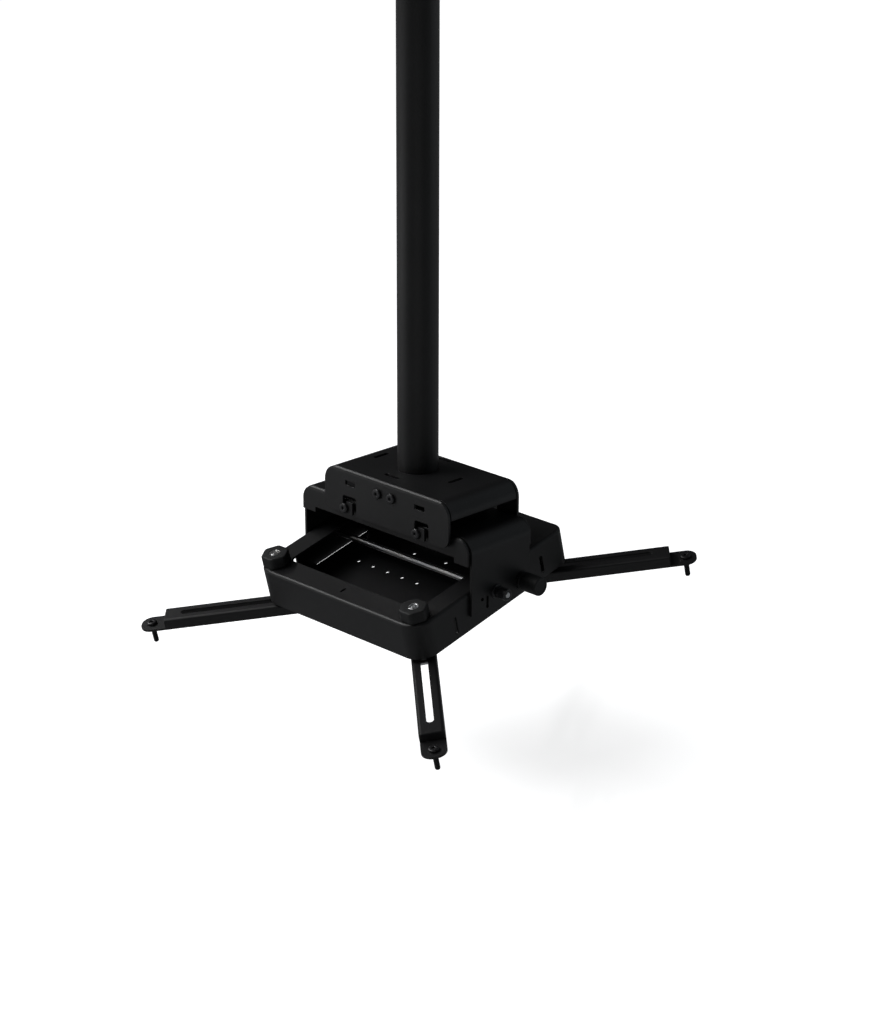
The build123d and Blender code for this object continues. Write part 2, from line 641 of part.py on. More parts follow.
def tray_shell():
    """Drawn tray: four walls with rounded corners and a flange turned in round an open top."""
    depth = TRAY_TOP - TRAY_BOTTOM
    shell = Pos(0, 0, TRAY_BOTTOM) * extrude(tray_outline(0), depth)
    shell = fillet(shell.edges().group_by(Axis.Z)[-1], TRAY_BEND + TRAY_SHEET)
    hollow = Pos(0, 0, TRAY_BOTTOM) * extrude(tray_outline(TRAY_SHEET), depth - TRAY_SHEET)
    shell -= fillet(hollow.edges().group_by(Axis.Z)[-1], TRAY_BEND)
    opening = RectangleRounded(2 * TRAY_OPENING_HALF_WIDTH, 2 * TRAY_OPENING_HALF_LENGTH, TRAY_OPENING_CORNER)
    shell -= Pos(0, 0, TRAY_TOP - TRAY_SHEET) * extrude(opening, TRAY_SHEET)
    mark = Pos(0, FLANGE_MARK_INSET - TRAY_HALF_LENGTH, TRAY_TOP - TRAY_SHEET) * Rot(0, 0, 90)
    shell -= mark * extrude(SlotOverall(FLANGE_MARK_LENGTH, FLANGE_MARK_WIDTH), TRAY_SHEET)

    cuts = [Circle(AXLE_DIAMETER / 2 + RUNNING_CLEARANCE), tilt_slot()]
    for y in TRAY_SIDE_SLOTS:
        cuts.append(upright_slot(TRAY_SIDE_SLOT_WIDTH, TRAY_SIDE_SLOT_LENGTH, (y, TRAY_SIDE_SLOT_HEIGHT)))
    for cut in cuts:
        shell -= along_x(cut, -TRAY_HALF_WIDTH, TRAY_HALF_WIDTH)
    for x in (-STUD_X, STUD_X):
        shell -= round_bar("Z", stud_bore(), TRAY_TOP - TRAY_SHEET, TRAY_TOP, (x, -STUD_Y))
    return in_tray(shell)


def stud_bore():
    """Radius of each hole that an arm bolt turns in."""
    return STUD_DIAMETER / 2 + RUNNING_CLEARANCE


def floor_tab():
    """Tab turned up from the floor plate's edge, standing on z = 0 with its outer face at y = 0."""
    half = FLOOR_TAB_LENGTH / 2
    face = rounded(rectangle(-half, half, 0, FLOOR_TAB_HEIGHT), Axis.Y, -1, FLOOR_TAB_CORNER)
    return along_y(face, 0, TRAY_SHEET)


def floor_plate():
    """Flat floor inside the tray, with turned-up tabs welded to the walls and rows of holes."""
    plate = Pos(0, 0, TRAY_BOTTOM) * extrude(tray_outline(TRAY_SHEET), TRAY_SHEET)
    wall_x = TRAY_HALF_WIDTH - TRAY_SHEET
    wall_y = TRAY_HALF_LENGTH - TRAY_SHEET
    for x in FLOOR_END_TABS:
        plate += Location((x, -wall_y, TRAY_BOTTOM)) * floor_tab()
        plate += Location((x, wall_y, TRAY_BOTTOM), (0, 0, 180)) * floor_tab()
    for y in FLOOR_SIDE_TABS:
        plate += Location((wall_x, y, TRAY_BOTTOM), (0, 0, 90)) * floor_tab()
        plate += Location((-wall_x, y, TRAY_BOTTOM), (0, 0, -90)) * floor_tab()

    top = TRAY_BOTTOM + TRAY_SHEET
    for side_x in (-1, 1):
        for side_y in (-1, 1):
            at = (side_x * STUD_X, side_y * STUD_Y)
            plate -= round_bar("Z", stud_bore(), TRAY_BOTTOM, top, at)
        edge, inner = sorted((side_x * wall_x, side_x * (wall_x - FLOOR_NOTCH_WIDTH)))
        notch_end = FLOOR_NOTCH_START + FLOOR_NOTCH_LENGTH
        plate -= slab(edge, inner, FLOOR_NOTCH_START, notch_end, TRAY_BOTTOM, top)
    row = [(FLOOR_HOLE_START + n * FLOOR_HOLE_PITCH, FLOOR_HOLE_Y) for n in range(FLOOR_HOLE_COUNT)]
    for at in row + list(FLOOR_EXTRA_HOLES):
        plate -= round_bar("Z", FLOOR_HOLE_DIAMETER / 2, TRAY_BOTTOM, top, at)
    return in_tray(plate)


def bolt_sleeve(side_x):
    """Tube round a front arm bolt, which keeps the flange from being squeezed down."""
    low = TRAY_BOTTOM + TRAY_SHEET
    high = TRAY_TOP - TRAY_SHEET
    at = (side_x * STUD_X, -STUD_Y)
    sleeve = round_bar("Z", SLEEVE_DIAMETER / 2, low, high, at)
    return in_tray(sleeve - round_bar("Z", stud_bore(), low, high, at))


def arm_spacer(side_x, side_y):
    """Round pad round an arm bolt, between the tray's floor and the arm."""
    at = (side_x * STUD_X, side_y * STUD_Y)
    pad = round_bar("Z", SPACER_DIAMETER / 2, TRAY_BOTTOM - SPACER_HEIGHT, TRAY_BOTTOM, at)
    return in_tray(pad - round_bar("Z", stud_bore(), TRAY_BOTTOM - SPACER_HEIGHT, TRAY_BOTTOM, at))


def floor_top():
    """Height of the tray floor's upper face in the arm frame."""
    return SPACER_HEIGHT + TRAY_SHEET


def arm_bolt(side_x, side_y):
    """Bolt with a square head that slides between the arm's sides and turns with the arm."""
    head_width = ARM_WIDTH - 2 * ARM_SHEET - 2 * TURNING_GAP
    head = extrude(RectangleRounded(head_width, head_width, BOLT_HEAD_CORNER), BOLT_HEAD_HEIGHT)
    head = chamfer(head.edges().group_by(Axis.Z)[-1], ARM_BEND)
    head = Pos(0, 0, -ARM_SHEET - BOLT_HEAD_HEIGHT) * head
    if side_y < 0:
        end = SPACER_HEIGHT + TRAY_TOP - TRAY_BOTTOM + HEX_KNOB_HEIGHT
    else:
        end = floor_top() + REAR_WASHER_THICKNESS + REAR_NUT_HEIGHT + REAR_THREAD_END
    shank = round_bar("Z", STUD_DIAMETER / 2, -ARM_SHEET, end)
    shank = chamfer(shank.edges().group_by(Axis.Z)[-1], BOLT_TIP)
    return in_tray(arm_place(side_x, side_y) * (head + shank))


def rear_nut(side_x):
    """Nut and washer on a rear arm bolt, on the tray's floor."""
    low = floor_top() + REAR_WASHER_THICKNESS
    nut = hexagon_bar(REAR_NUT_FLATS, low, low + REAR_NUT_HEIGHT)
    nut += round_bar("Z", REAR_WASHER_DIAMETER / 2, floor_top(), low)
    nut -= round_bar("Z", STUD_DIAMETER / 2, floor_top(), low + REAR_NUT_HEIGHT)
    return in_tray(arm_place(side_x, 1) * nut)


def knob_place(side_x):
    """Place of a hex knob's frame in the tray frame: on the flange, on the bolt's axis."""
    return Pos(side_x * STUD_X, -STUD_Y, TRAY_TOP)


def hex_knob(side_x):
    """Six-sided knob that clamps a front arm: a metal insert in its top and a narrow round foot below."""
    knob = hexagon_bar(HEX_KNOB_FLATS, KNOB_FOOT_HEIGHT, HEX_KNOB_HEIGHT)
    corner_radius = HEX_KNOB_FLATS / 2 / cos(radians(30))
    knob &= Pos(0, 0, HEX_KNOB_HEIGHT / 2) * Cylinder(corner_radius - HEX_KNOB_EDGE / 2, HEX_KNOB_HEIGHT)
    knob = fillet(knob.edges().group_by(Axis.Z)[-1], HEX_KNOB_EDGE)
    insert_foot = HEX_KNOB_HEIGHT - KNOB_INSERT_HEIGHT
    knob -= round_bar("Z", KNOB_INSERT_DIAMETER / 2, insert_foot, HEX_KNOB_HEIGHT)
    foot_bore = STUD_DIAMETER / 2 + KNOB_FOOT_RELIEF
    foot = round_bar("Z", foot_bore + KNOB_FOOT_WIDTH, 0, KNOB_FOOT_HEIGHT)
    knob += foot - round_bar("Z", foot_bore, 0, KNOB_FOOT_HEIGHT)
    knob -= round_bar("Z", stud_bore(), KNOB_FOOT_HEIGHT, insert_foot)
    return in_tray(knob_place(side_x) * knob)


def knob_insert(side_x):
    """Threaded metal insert in a hex knob, whose end shows round the bolt."""
    foot = HEX_KNOB_HEIGHT - KNOB_INSERT_HEIGHT
    insert = round_bar("Z", KNOB_INSERT_DIAMETER / 2, foot, HEX_KNOB_HEIGHT)
    insert -= round_bar("Z", stud_bore(), foot, HEX_KNOB_HEIGHT)
    return in_tray(knob_place(side_x) * insert)


def arm_slid(side_x, side_y):
    """Place of an arm's own frame in the tray frame, slid outward along its slot."""
    out = 0
    if side_x > 0:
        out = ARM_OUT_FRONT_RIGHT if side_y < 0 else ARM_OUT_REAR_RIGHT
    return arm_place(side_x, side_y) * Pos(out, 0, 0)


def arm_channel(side_x, side_y):
    """Slotted channel, open below, closed by a step down to a round-ended tab for a screw."""
    half = ARM_WIDTH / 2
    outline = rounded(rectangle(-half, half, -ARM_HEIGHT, 0), Axis.Y, -1, ARM_BEND + ARM_SHEET)
    inner = rectangle(-half + ARM_SHEET, half - ARM_SHEET, -ARM_HEIGHT, -ARM_SHEET)
    section = outline - rounded(inner, Axis.Y, -1, ARM_BEND)
    arm = along_x(section, -ARM_INNER_LENGTH, ARM_STEP_X)
    arm += along_x(outline, ARM_STEP_X - ARM_SHEET, ARM_STEP_X)
    tab = rounded(rectangle(ARM_STEP_X - ARM_SHEET, ARM_TIP_X, -half, half), Axis.X, -1, ARM_TIP_CORNER)
    arm += Pos(0, 0, -ARM_HEIGHT) * extrude(tab, ARM_SHEET)
    step_edges = arm.edges().filter_by(Axis.Y).group_by(Axis.Z)[-1]
    arm = fillet(step_edges.sort_by(Axis.X)[-1], ARM_BEND)

    slot_middle = (ARM_SLOT_START + ARM_SLOT_END) / 2
    slot = SlotCenterToCenter(ARM_SLOT_END - ARM_SLOT_START, STUD_DIAMETER + 2 * TURNING_GAP)
    arm -= Pos(slot_middle, 0, -ARM_SHEET) * extrude(slot, ARM_SHEET)
    hole = ARM_SCREW_NECK / 2 + HOLE_CLEARANCE
    arm -= round_bar("Z", hole, -ARM_HEIGHT, ARM_SHEET - ARM_HEIGHT, (ARM_HOLE_X, 0))
    return in_tray(arm_slid(side_x, side_y) * arm)


def arm_screw(side_x, side_y):
    """Pan-head screw with a neck in the arm's tab, which fastens to what is carried."""
    screw = pan_screw(ARM_SCREW_DIAMETER, ARM_SCREW_LENGTH)
    screw += round_bar("Z", ARM_SCREW_NECK / 2, -ARM_SHEET, 0)
    seat = Pos(ARM_HOLE_X, 0, ARM_SHEET - ARM_HEIGHT)
    return in_tray(arm_slid(side_x, side_y) * seat * screw)


def all_parts():
    """Every piece by its name."""
    parts = {
        "ceiling_plate": ceiling_plate(),
        "ceiling_lock_screws": ceiling_lock_screws(),
        "column_tube": column_tube(),
        "column_foot": column_foot(),
        "cap_bracket": cap_bracket(),
        "swivel_brake": swivel_brake(),
        "brake_screws": brake_screws(),
        "yoke_bracket": yoke_bracket(),
        "hook_screws": hook_screws(),
        "hook_spacers": hook_spacers(),
        "hook_nuts": hook_nuts(),
        "tilt_axle": tilt_axle(),
        "pivot_washers": pivot_washers(),
        "tilt_knob": tilt_knob(),
        "tilt_knob_washer": tilt_knob_washer(),
        "tilt_lock_nut": tilt_lock_nut(),
        "tray_shell": tray_shell(),
        "floor_plate": floor_plate(),
    }
    for side_x, side in ((-1, "left"), (1, "right")):
        parts["axle_nut_" + side] = axle_nut(side_x)
        parts["bolt_sleeve_" + side] = bolt_sleeve(side_x)
        parts["hex_knob_" + side] = hex_knob(side_x)
        parts["knob_insert_" + side] = knob_insert(side_x)
        parts["rear_nut_" + side] = rear_nut(side_x)
        for side_y, end in ((-1, "front"), (1, "rear")):
            corner = end + "_" + side
            parts["arm_spacer_" + corner] = arm_spacer(side_x, side_y)
            parts["arm_bolt_" + corner] = arm_bolt(side_x, side_y)
            parts["arm_" + corner] = arm_channel(side_x, side_y)
            parts["arm_screw_" + corner] = arm_screw(side_x, side_y)
    return parts


def main():
    """Writes one STEP file for each piece."""
    os.makedirs("parts", exist_ok=True)
    for name, shape in all_parts().items():
        export_step(shape, "parts/" + name + ".step")
    print("Arm direction from the X axis:", round(degrees(atan2(STUD_Y, STUD_X)), 3))
    print("Arm bolt's distance from the tray's middle:", round(hypot(STUD_X, STUD_Y), 3))


main()
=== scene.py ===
import json
from math import cos, pi, radians, sin

import bpy
import numpy as np
from bpy.props import FloatProperty, FloatVectorProperty, IntProperty, PointerProperty
from bpy.types import Operator, Panel, PropertyGroup
from mathutils import Matrix, Vector


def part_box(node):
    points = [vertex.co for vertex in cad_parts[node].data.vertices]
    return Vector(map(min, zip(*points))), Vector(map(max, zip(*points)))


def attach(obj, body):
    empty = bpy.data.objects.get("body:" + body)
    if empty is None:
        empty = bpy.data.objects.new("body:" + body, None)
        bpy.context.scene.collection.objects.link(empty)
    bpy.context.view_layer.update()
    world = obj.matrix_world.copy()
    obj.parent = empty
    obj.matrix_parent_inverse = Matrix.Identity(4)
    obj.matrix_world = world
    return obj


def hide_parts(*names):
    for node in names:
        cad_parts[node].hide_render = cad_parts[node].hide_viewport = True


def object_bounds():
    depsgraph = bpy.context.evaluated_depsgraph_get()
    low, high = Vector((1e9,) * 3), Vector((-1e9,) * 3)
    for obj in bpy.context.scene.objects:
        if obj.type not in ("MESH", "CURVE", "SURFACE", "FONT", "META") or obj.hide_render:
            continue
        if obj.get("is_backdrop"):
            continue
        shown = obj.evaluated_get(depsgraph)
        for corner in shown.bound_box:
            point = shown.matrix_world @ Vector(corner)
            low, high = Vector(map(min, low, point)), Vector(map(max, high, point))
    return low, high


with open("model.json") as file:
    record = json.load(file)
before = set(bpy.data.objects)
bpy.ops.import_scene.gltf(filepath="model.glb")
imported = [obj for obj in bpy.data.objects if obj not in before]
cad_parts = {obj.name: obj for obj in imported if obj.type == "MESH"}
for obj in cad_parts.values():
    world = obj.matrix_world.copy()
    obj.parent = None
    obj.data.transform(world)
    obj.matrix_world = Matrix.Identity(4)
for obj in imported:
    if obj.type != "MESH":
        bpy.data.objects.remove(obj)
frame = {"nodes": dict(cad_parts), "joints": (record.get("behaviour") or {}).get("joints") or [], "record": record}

bl_info = {
    "name": "Ceiling Mount Looks",
    "version": (1, 0, 0),
    "blender": (4, 5, 0),
    "location": "View3D > Sidebar > Ceiling Mount",
    "description": "Finishes and fine pieces of a tilting ceiling mount, fitted to its packed frame",
    "category": "Object",
}

MM = 0.001
RECORD = frame["record"]
JOINTS = {joint["name"]: joint for joint in frame["joints"]}
MOUNTS = {mount["name"]: mount for mount in RECORD["mounts"]}
SIDES = ("left", "right")
CORNERS = ("front_left", "front_right", "rear_left", "rear_right")

# Points in each ring of a turned shape.
AROUND = 72
# Angle in degrees past which an edge between two faces stays sharp.
CREASE = 32.0
# A thread's triangle wave is raised by this factor and cut off at 1, which leaves a narrow flat crest.
THREAD_CREST = 1.15
# Radius, height, radius of the socket and depth of the socket, in millimetres.
PAN_HEAD = (4.9, 2.6, 1.5, 1.3)
# Width across flats, height and radius of the bore, in millimetres.
HOOK_NUT = (7.5, 4.0, 2.4)

# Most of a noise's values lie between these two.
NOISE_LOW = 0.3
NOISE_HIGH = 0.7

PICTURE_WIDTH = 881
PICTURE_HEIGHT = 1024
SENSOR_MM = 36.0

# Lengths of the stage are metres.
CLIP_END = 60.0
FLOOR_HALF_WIDTH = 12.0
# The area lights point at a spot on the column's axis, this far above the mount's lowest point.
AIM_HEIGHT = 0.14
WHITE = (1.0, 1.0, 1.0)
PALE_BLUE = (0.96, 0.98, 1.0)
COOL = (0.86, 0.94, 1.0)
# Toward the far light, and the angle in degrees that it fills.
SUN_DIRECTION = (-0.42, -0.5, 0.76)
SUN_SPREAD = 34.0
# Name, direction from the aimed spot, distance, long and short side, colour, and the setting of its power.
AREA_LIGHTS = (
    ("strip_light", (-0.66, -0.35, 0.66), 1.9, (1.8, 0.05), WHITE, "strip_power"),
    ("front_light", (-0.66, -0.66, -0.10), 1.5, (1.3, 0.45), WHITE, "front_power"),
    ("side_light", (0.72, 0.60, -0.05), 1.6, (1.0, 0.40), COOL, "side_power"),
    ("high_light", (0.45, 0.66, 0.50), 1.6, (1.6, 1.40), COOL, "high_power"),
    ("fill_light", (0.66, -0.66, -0.12), 1.5, (1.0, 0.50), WHITE, "fill_power"),
)


class FinishSettings(PropertyGroup):
    """Colours and gloss of the finishes."""
    paint: FloatVectorProperty(
        name="Paint", description="Colour of the powder coat",
        subtype="COLOR", size=3, min=0, max=1, default=(0.0078, 0.0078, 0.0084))
    paint_roughness: FloatProperty(
        name="Paint roughness", description="Roughness of the powder coat",
        min=0, max=1, default=0.42)
    hardware: FloatVectorProperty(
        name="Dark hardware", description="Colour of the blackened screws and nuts",
        subtype="COLOR", size=3, min=0, max=1, default=(0.014, 0.014, 0.0155))
    steel: FloatVectorProperty(
        name="Bright steel", description="Colour of the plated steel",
        subtype="COLOR", size=3, min=0, max=1, default=(0.62, 0.61, 0.59))
    plastic: FloatVectorProperty(
        name="Knob plastic", description="Colour of the moulded knobs",
        subtype="COLOR", size=3, min=0, max=1, default=(0.0085, 0.009, 0.0095))
    edge_radius: FloatProperty(
        name="Edge radius", description="Softening of sheared and moulded edges, in metres",
        unit="LENGTH", min=0, max=0.002, default=0.0005)


class FastenerSettings(PropertyGroup):
    """Thread sizes, in millimetres."""
    fine_pitch: FloatProperty(
        name="M5 pitch", description="Thread pitch of the small screws",
        min=0.3, max=2, default=0.8)
    axle_pitch: FloatProperty(
        name="M6 pitch", description="Thread pitch of the axle's ends and the column's lock screws",
        min=0.3, max=2, default=1.0)
    stud_pitch: FloatProperty(
        name="Arm bolt pitch", description="Thread pitch of the arm bolts",
        min=0.3, max=3, default=1.0)
    thread_depth: FloatProperty(
        name="Thread depth", description="Depth of a thread as a share of its pitch",
        min=0.1, max=0.8, default=0.5)
    rings_a_turn: IntProperty(
        name="Rings a turn", description="Rings of faces along one turn of a thread",
        min=4, max=16, default=6)


class StageSettings(PropertyGroup):
    """Floor, light and camera."""
    floor_colour: FloatVectorProperty(
        name="Floor", description="Colour of the pale floor",
        subtype="COLOR", size=3, min=0, max=1, default=(0.86, 0.87, 0.88))
    floor_drop: FloatProperty(
        name="Floor drop", description="Distance from the mount's lowest point down to the floor",
        unit="LENGTH", min=0.01, max=2, default=0.09)
    sun_strength: FloatProperty(
        name="Overhead light", description="Strength of the soft far light that throws the floor's shadow",
        min=0, max=20, default=1.0)
    strip_power: FloatProperty(
        name="Strip light", description="Power in watts of the long narrow light above the front edges",
        unit="POWER", min=0, max=500, default=16)
    front_power: FloatProperty(
        name="Front light", description="Power in watts of the low wide light at the front left",
        unit="POWER", min=0, max=500, default=2.2)
    side_power: FloatProperty(
        name="Side light", description="Power in watts of the low cool light on the right",
        unit="POWER", min=0, max=500, default=0.5)
    high_power: FloatProperty(
        name="High side light", description="Power in watts of the wide cool light above the side light",
        unit="POWER", min=0, max=500, default=1.8)
    fill_power: FloatProperty(
        name="Fill light", description="Power in watts of the weak light in front of the column",
        unit="POWER", min=0, max=500, default=0.8)
    world_strength: FloatProperty(
        name="World", description="Strength of the even light from all round",
        min=0, max=2, default=0.03)
    floor_glow: FloatProperty(
        name="Floor glow", description="Light that the floor adds where the camera sees it directly",
        min=0, max=2, default=0.80)
    floor_sheen: FloatProperty(
        name="Floor sheen", description="Brightness of the floor as it shows in glossy surfaces",
        min=0, max=2, default=0.22)
    azimuth: FloatProperty(
        name="Azimuth", description="Turn of the camera about the column, from the mount's front",
        subtype="ANGLE", default=radians(44.87))
    elevation: FloatProperty(
        name="Elevation", description="Height of the camera as an angle",
        subtype="ANGLE", default=radians(20.45))
    roll: FloatProperty(
        name="Roll", description="Lean of the picture",
        subtype="ANGLE", default=radians(0.16))
    eye: FloatVectorProperty(
        name="Eye", description="Place of the camera",
        subtype="XYZ", unit="LENGTH", size=3, default=(1.5707, -1.5484, 0.2951))
    focal_pixels: FloatProperty(
        name="Focal length", description="Focal length in pixels of the picture",
        min=500, max=9000, default=2551.1)


def ring(radius, height, sides=0, sharpness=60.0, limit=None):
    """One closed ring of points at a height.

    A plain ring is a circle. With sides it is a rounded polygon: its radius at angle a is
    radius * (sum over the sides of max(0, cos(a - side))^sharpness)^(-1 / sharpness), and
    limit cuts its corners off with a circle.
    """
    angle = np.arange(AROUND) * 2 * pi / AROUND
    size = np.full(AROUND, float(radius))
    if sides:
        side = np.arange(sides) * 2 * pi / sides
        reach = np.maximum(np.cos(angle[:, None] - side[None, :]), 0.0)
        size = size * (reach ** sharpness).sum(axis=1) ** (-1.0 / sharpness)
    if limit is not None:
        size = np.minimum(size, limit)
    level = np.full(AROUND, float(height))
    return np.stack([size * np.cos(angle), size * np.sin(angle), level], axis=1)[None]


def rings(points, **shape):
    """Rings through a list of (radius, height) points, all of one shape."""
    return np.concatenate([ring(radius, height, **shape) for radius, height in points])


def arc_points(centre, radius, start, end, steps=5):
    """Points (radius, height) of a round corner: centre + radius * (cos a, sin a), with a in degrees."""
    angle = np.radians(np.linspace(start, end, steps))
    return list(zip(centre[0] + radius * np.cos(angle), centre[1] + radius * np.sin(angle)))


def thread(radius, start, end, pitch, fade_end=True):
    """Rings of a screw thread rising from start to end.

    Radius at angle a and height z is radius - depth * (1 - ridge * fade), where ridge is a triangle
    wave of z / pitch - a / (2 pi), flat at its crest, and fade falls to 0 over the turn at each end,
    or at the start alone.
    """
    settings = bpy.context.scene.mount_fasteners
    depth = pitch * settings.thread_depth
    count = max(int(abs(end - start) / pitch * settings.rings_a_turn), 4)
    height = np.linspace(start, end, count)[:, None]
    angle = (np.arange(AROUND) * 2 * pi / AROUND)[None, :]
    phase = (height / pitch - angle / (2 * pi)) % 1.0
    ridge = np.clip(THREAD_CREST * (1.0 - np.abs(2.0 * phase - 1.0)), 0.0, 1.0)
    room = np.minimum(np.abs(height - start), np.abs(end - height) if fade_end else np.inf)
    fade = np.clip(room / pitch, 0.0, 1.0)
    size = radius - depth * (1.0 - ridge * fade)
    height = np.broadcast_to(height, size.shape)
    return np.stack([size * np.cos(angle), size * np.sin(angle), height], axis=2)


def skin(grid, bored=False):
    """Vertices and faces of stacked rings, one quad between each two neighbours along and across.

    A middle point closes each end. If bored, the last ring joins the first instead.
    """
    count = len(grid)
    points = grid.reshape(-1, 3)
    along = np.arange(AROUND)
    after = (along + 1) % AROUND
    rows = np.arange(count if bored else count - 1)[:, None]
    above = (rows + 1) % count
    quads = np.stack([
        rows * AROUND + along, rows * AROUND + after, above * AROUND + after, above * AROUND + along,
    ], axis=2).reshape(-1, 4)
    faces = quads.tolist()
    if not bored:
        first = len(points)
        points = np.concatenate([points, grid[0].mean(axis=0)[None], grid[-1].mean(axis=0)[None]])
        last_ring = (count - 1) * AROUND
        faces += np.stack([np.full(AROUND, first), after, along], axis=1).tolist()
        faces += np.stack([last_ring + along, last_ring + after, np.full(AROUND, first + 1)], axis=1).tolist()
    return points, faces


def frame_axes(along, across=None):
    """Right-handed 3 by 3 matrix: Z along a direction, X the hint made square to Z, and Y = Z cross X."""
    z_axis = Vector(along).normalized()
    hint = Vector(across) if across is not None else Vector((0, 0, 1))
    nearly_parallel = 0.99
    if abs(hint.normalized().dot(z_axis)) > nearly_parallel:
        hint = Vector((1, 0, 0))
    x_axis = (hint - hint.dot(z_axis) * z_axis).normalized()
    y_axis = z_axis.cross(x_axis)
    return np.array([x_axis, y_axis, z_axis]).T


def placed(shape, origin, along, across=None):
    """A (points, faces) shape moved so that its +Z lies along a direction, from an origin in metres."""
    points, faces = shape
    return points * MM @ frame_axes(along, across).T + np.array(origin), faces


def raised(shape, height):
    """A (points, faces) shape moved up its own Z."""
    points, faces = shape
    return points + np.array([0, 0, height]), faces


def joined(shapes):
    """Several (points, faces) shapes as one."""
    points = []
    faces = []
    start = 0
    for more_points, more_faces in shapes:
        points.append(more_points)
        faces += [[index + start for index in face] for face in more_faces]
        start += len(more_points)
    return np.concatenate(points), faces


def add_piece(name, shape, body, slot, replaced=(), crease=CREASE):
    """Mesh object from a (points, faces) shape, riding on a body, smooth except at creases."""
    mesh = bpy.data.meshes.new(name)
    mesh.from_pydata(shape[0].tolist(), [], shape[1])
    mesh.shade_smooth()
    mesh.set_sharp_from_angle(angle=radians(crease))
    mesh.update()
    piece = bpy.data.objects.new(name, mesh)
    bpy.context.scene.collection.objects.link(piece)
    piece.data.materials.append(finish(slot))
    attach(piece, body)
    if replaced:
        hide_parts(*replaced)


def row_places(node, radius):
    """Left and right X, middle Z, and front and rear Y of a row of like fasteners, in metres."""
    low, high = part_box(node)
    return (low.x + radius * MM, high.x - radius * MM), (low.z + high.z) / 2, low.y, high.y


def level_axis(node):
    """Middle Y and Z of a node that lies along X, in metres, and its left and right ends in millimetres."""
    low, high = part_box(node)
    return (low.y + high.y) / 2, (low.z + high.z) / 2, low.x / MM, high.x / MM


def set_inputs(tree, node, **inputs):
    """Set some of a node's inputs: each to a number or colour, or to another node's output."""
    for key, value in inputs.items():
        socket = node.inputs[key.replace("_", " ")]
        if isinstance(value, bpy.types.NodeSocket):
            tree.links.new(value, socket)
        else:
            socket.default_value = value


def add_node(tree, kind, **inputs):
    """Shader node with some of its inputs set."""
    made = tree.nodes.new(kind)
    set_inputs(tree, made, **inputs)
    return made


def chosen(tree, share, first, second):
    """Shader that is the first where share is 0 and the second where it is 1."""
    made = add_node(tree, "ShaderNodeMixShader", Fac=share)
    tree.links.new(first, made.inputs[1])
    tree.links.new(second, made.inputs[2])
    return made.outputs["Shader"]


def object_noise(tree, scale, detail=2.0, stretch=None):
    """Noise over the object's own coordinates; scale is per metre, stretch scales each axis."""
    place = tree.nodes.new("ShaderNodeTexCoord").outputs["Object"]
    if stretch is not None:
        place = add_node(tree, "ShaderNodeMapping", Vector=place, Scale=stretch).outputs["Vector"]
    return add_node(tree, "ShaderNodeTexNoise", Vector=place, Scale=scale, Detail=detail).outputs["Fac"]


def spread(tree, value, low, high):
    """A noise's value spread between two limits."""
    made = add_node(tree, "ShaderNodeMapRange", Value=value, From_Min=NOISE_LOW, From_Max=NOISE_HIGH,
                    To_Min=low, To_Max=high)
    return made.outputs["Result"]


def two_tone(tree, value, dark, light):
    """Colour between two tones by a noise's value."""
    ramp = add_node(tree, "ShaderNodeValToRGB", Fac=value)
    first, last = ramp.color_ramp.elements
    first.position = NOISE_LOW
    first.color = (*dark, 1)
    last.position = NOISE_HIGH
    last.color = (*light, 1)
    return ramp.outputs["Color"]


def tone(colour, share):
    """A colour made darker or lighter by a share."""
    return tuple(min(channel * share, 1.0) for channel in colour)


def new_finish(name):
    """Material with only a shader and its output; returns the material, its tree and the shader."""
    material = bpy.data.materials.new(name)
    material.use_nodes = True
    tree = material.node_tree
    tree.nodes.clear()
    shader = tree.nodes.new("ShaderNodeBsdfPrincipled")
    add_node(tree, "ShaderNodeOutputMaterial", Surface=shader.outputs["BSDF"])
    return material, tree, shader


def bumps(tree, shader, layers, radius):
    """Small relief from (value, strength, height) layers over edges rounded by a radius, in metres."""
    rounding = add_node(tree, "ShaderNodeBevel", Radius=radius)
    rounding.samples = 4
    normal = rounding.outputs["Normal"]
    for value, strength, height in layers:
        normal = add_node(
            tree, "ShaderNodeBump", Height=value, Strength=strength, Distance=height, Normal=normal,
        ).outputs["Normal"]
    tree.links.new(normal, shader.inputs["Normal"])


def satin_paint():
    """Powder coat: near black, with fine orange peel, a grain in its gloss and faint clouding."""
    look = bpy.context.scene.mount_finish
    material, tree, shader = new_finish("satin_black_powder_coat")
    clouds = object_noise(tree, scale=14.0, detail=3.0)
    grain = object_noise(tree, scale=2600.0)
    peel = object_noise(tree, scale=850.0, detail=1.0)
    set_inputs(
        tree, shader, Specular_IOR_Level=0.35,
        Base_Color=two_tone(tree, clouds, tone(look.paint, 0.82), tone(look.paint, 1.2)),
        Roughness=spread(tree, grain, look.paint_roughness - 0.05, look.paint_roughness + 0.07))
    bumps(tree, shader, [(peel, 0.09, 0.00010), (grain, 0.08, 0.00003)], look.edge_radius)
    return material


def dark_metal():
    """Blackened steel: dark metal sheen, oil-dark clouding and fine scuffs."""
    look = bpy.context.scene.mount_finish
    material, tree, shader = new_finish("blackened_steel")
    clouds = object_noise(tree, scale=320.0, detail=3.0)
    scuffs = object_noise(tree, scale=900.0, detail=4.0, stretch=(1.0, 1.0, 6.0))
    set_inputs(
        tree, shader, Metallic=0.35, Specular_IOR_Level=0.6,
        Base_Color=two_tone(tree, clouds, tone(look.hardware, 0.75), tone(look.hardware, 1.5)),
        Roughness=spread(tree, scuffs, 0.24, 0.42))
    bumps(tree, shader, [(scuffs, 0.12, 0.00003)], look.edge_radius * 0.6)
    return material


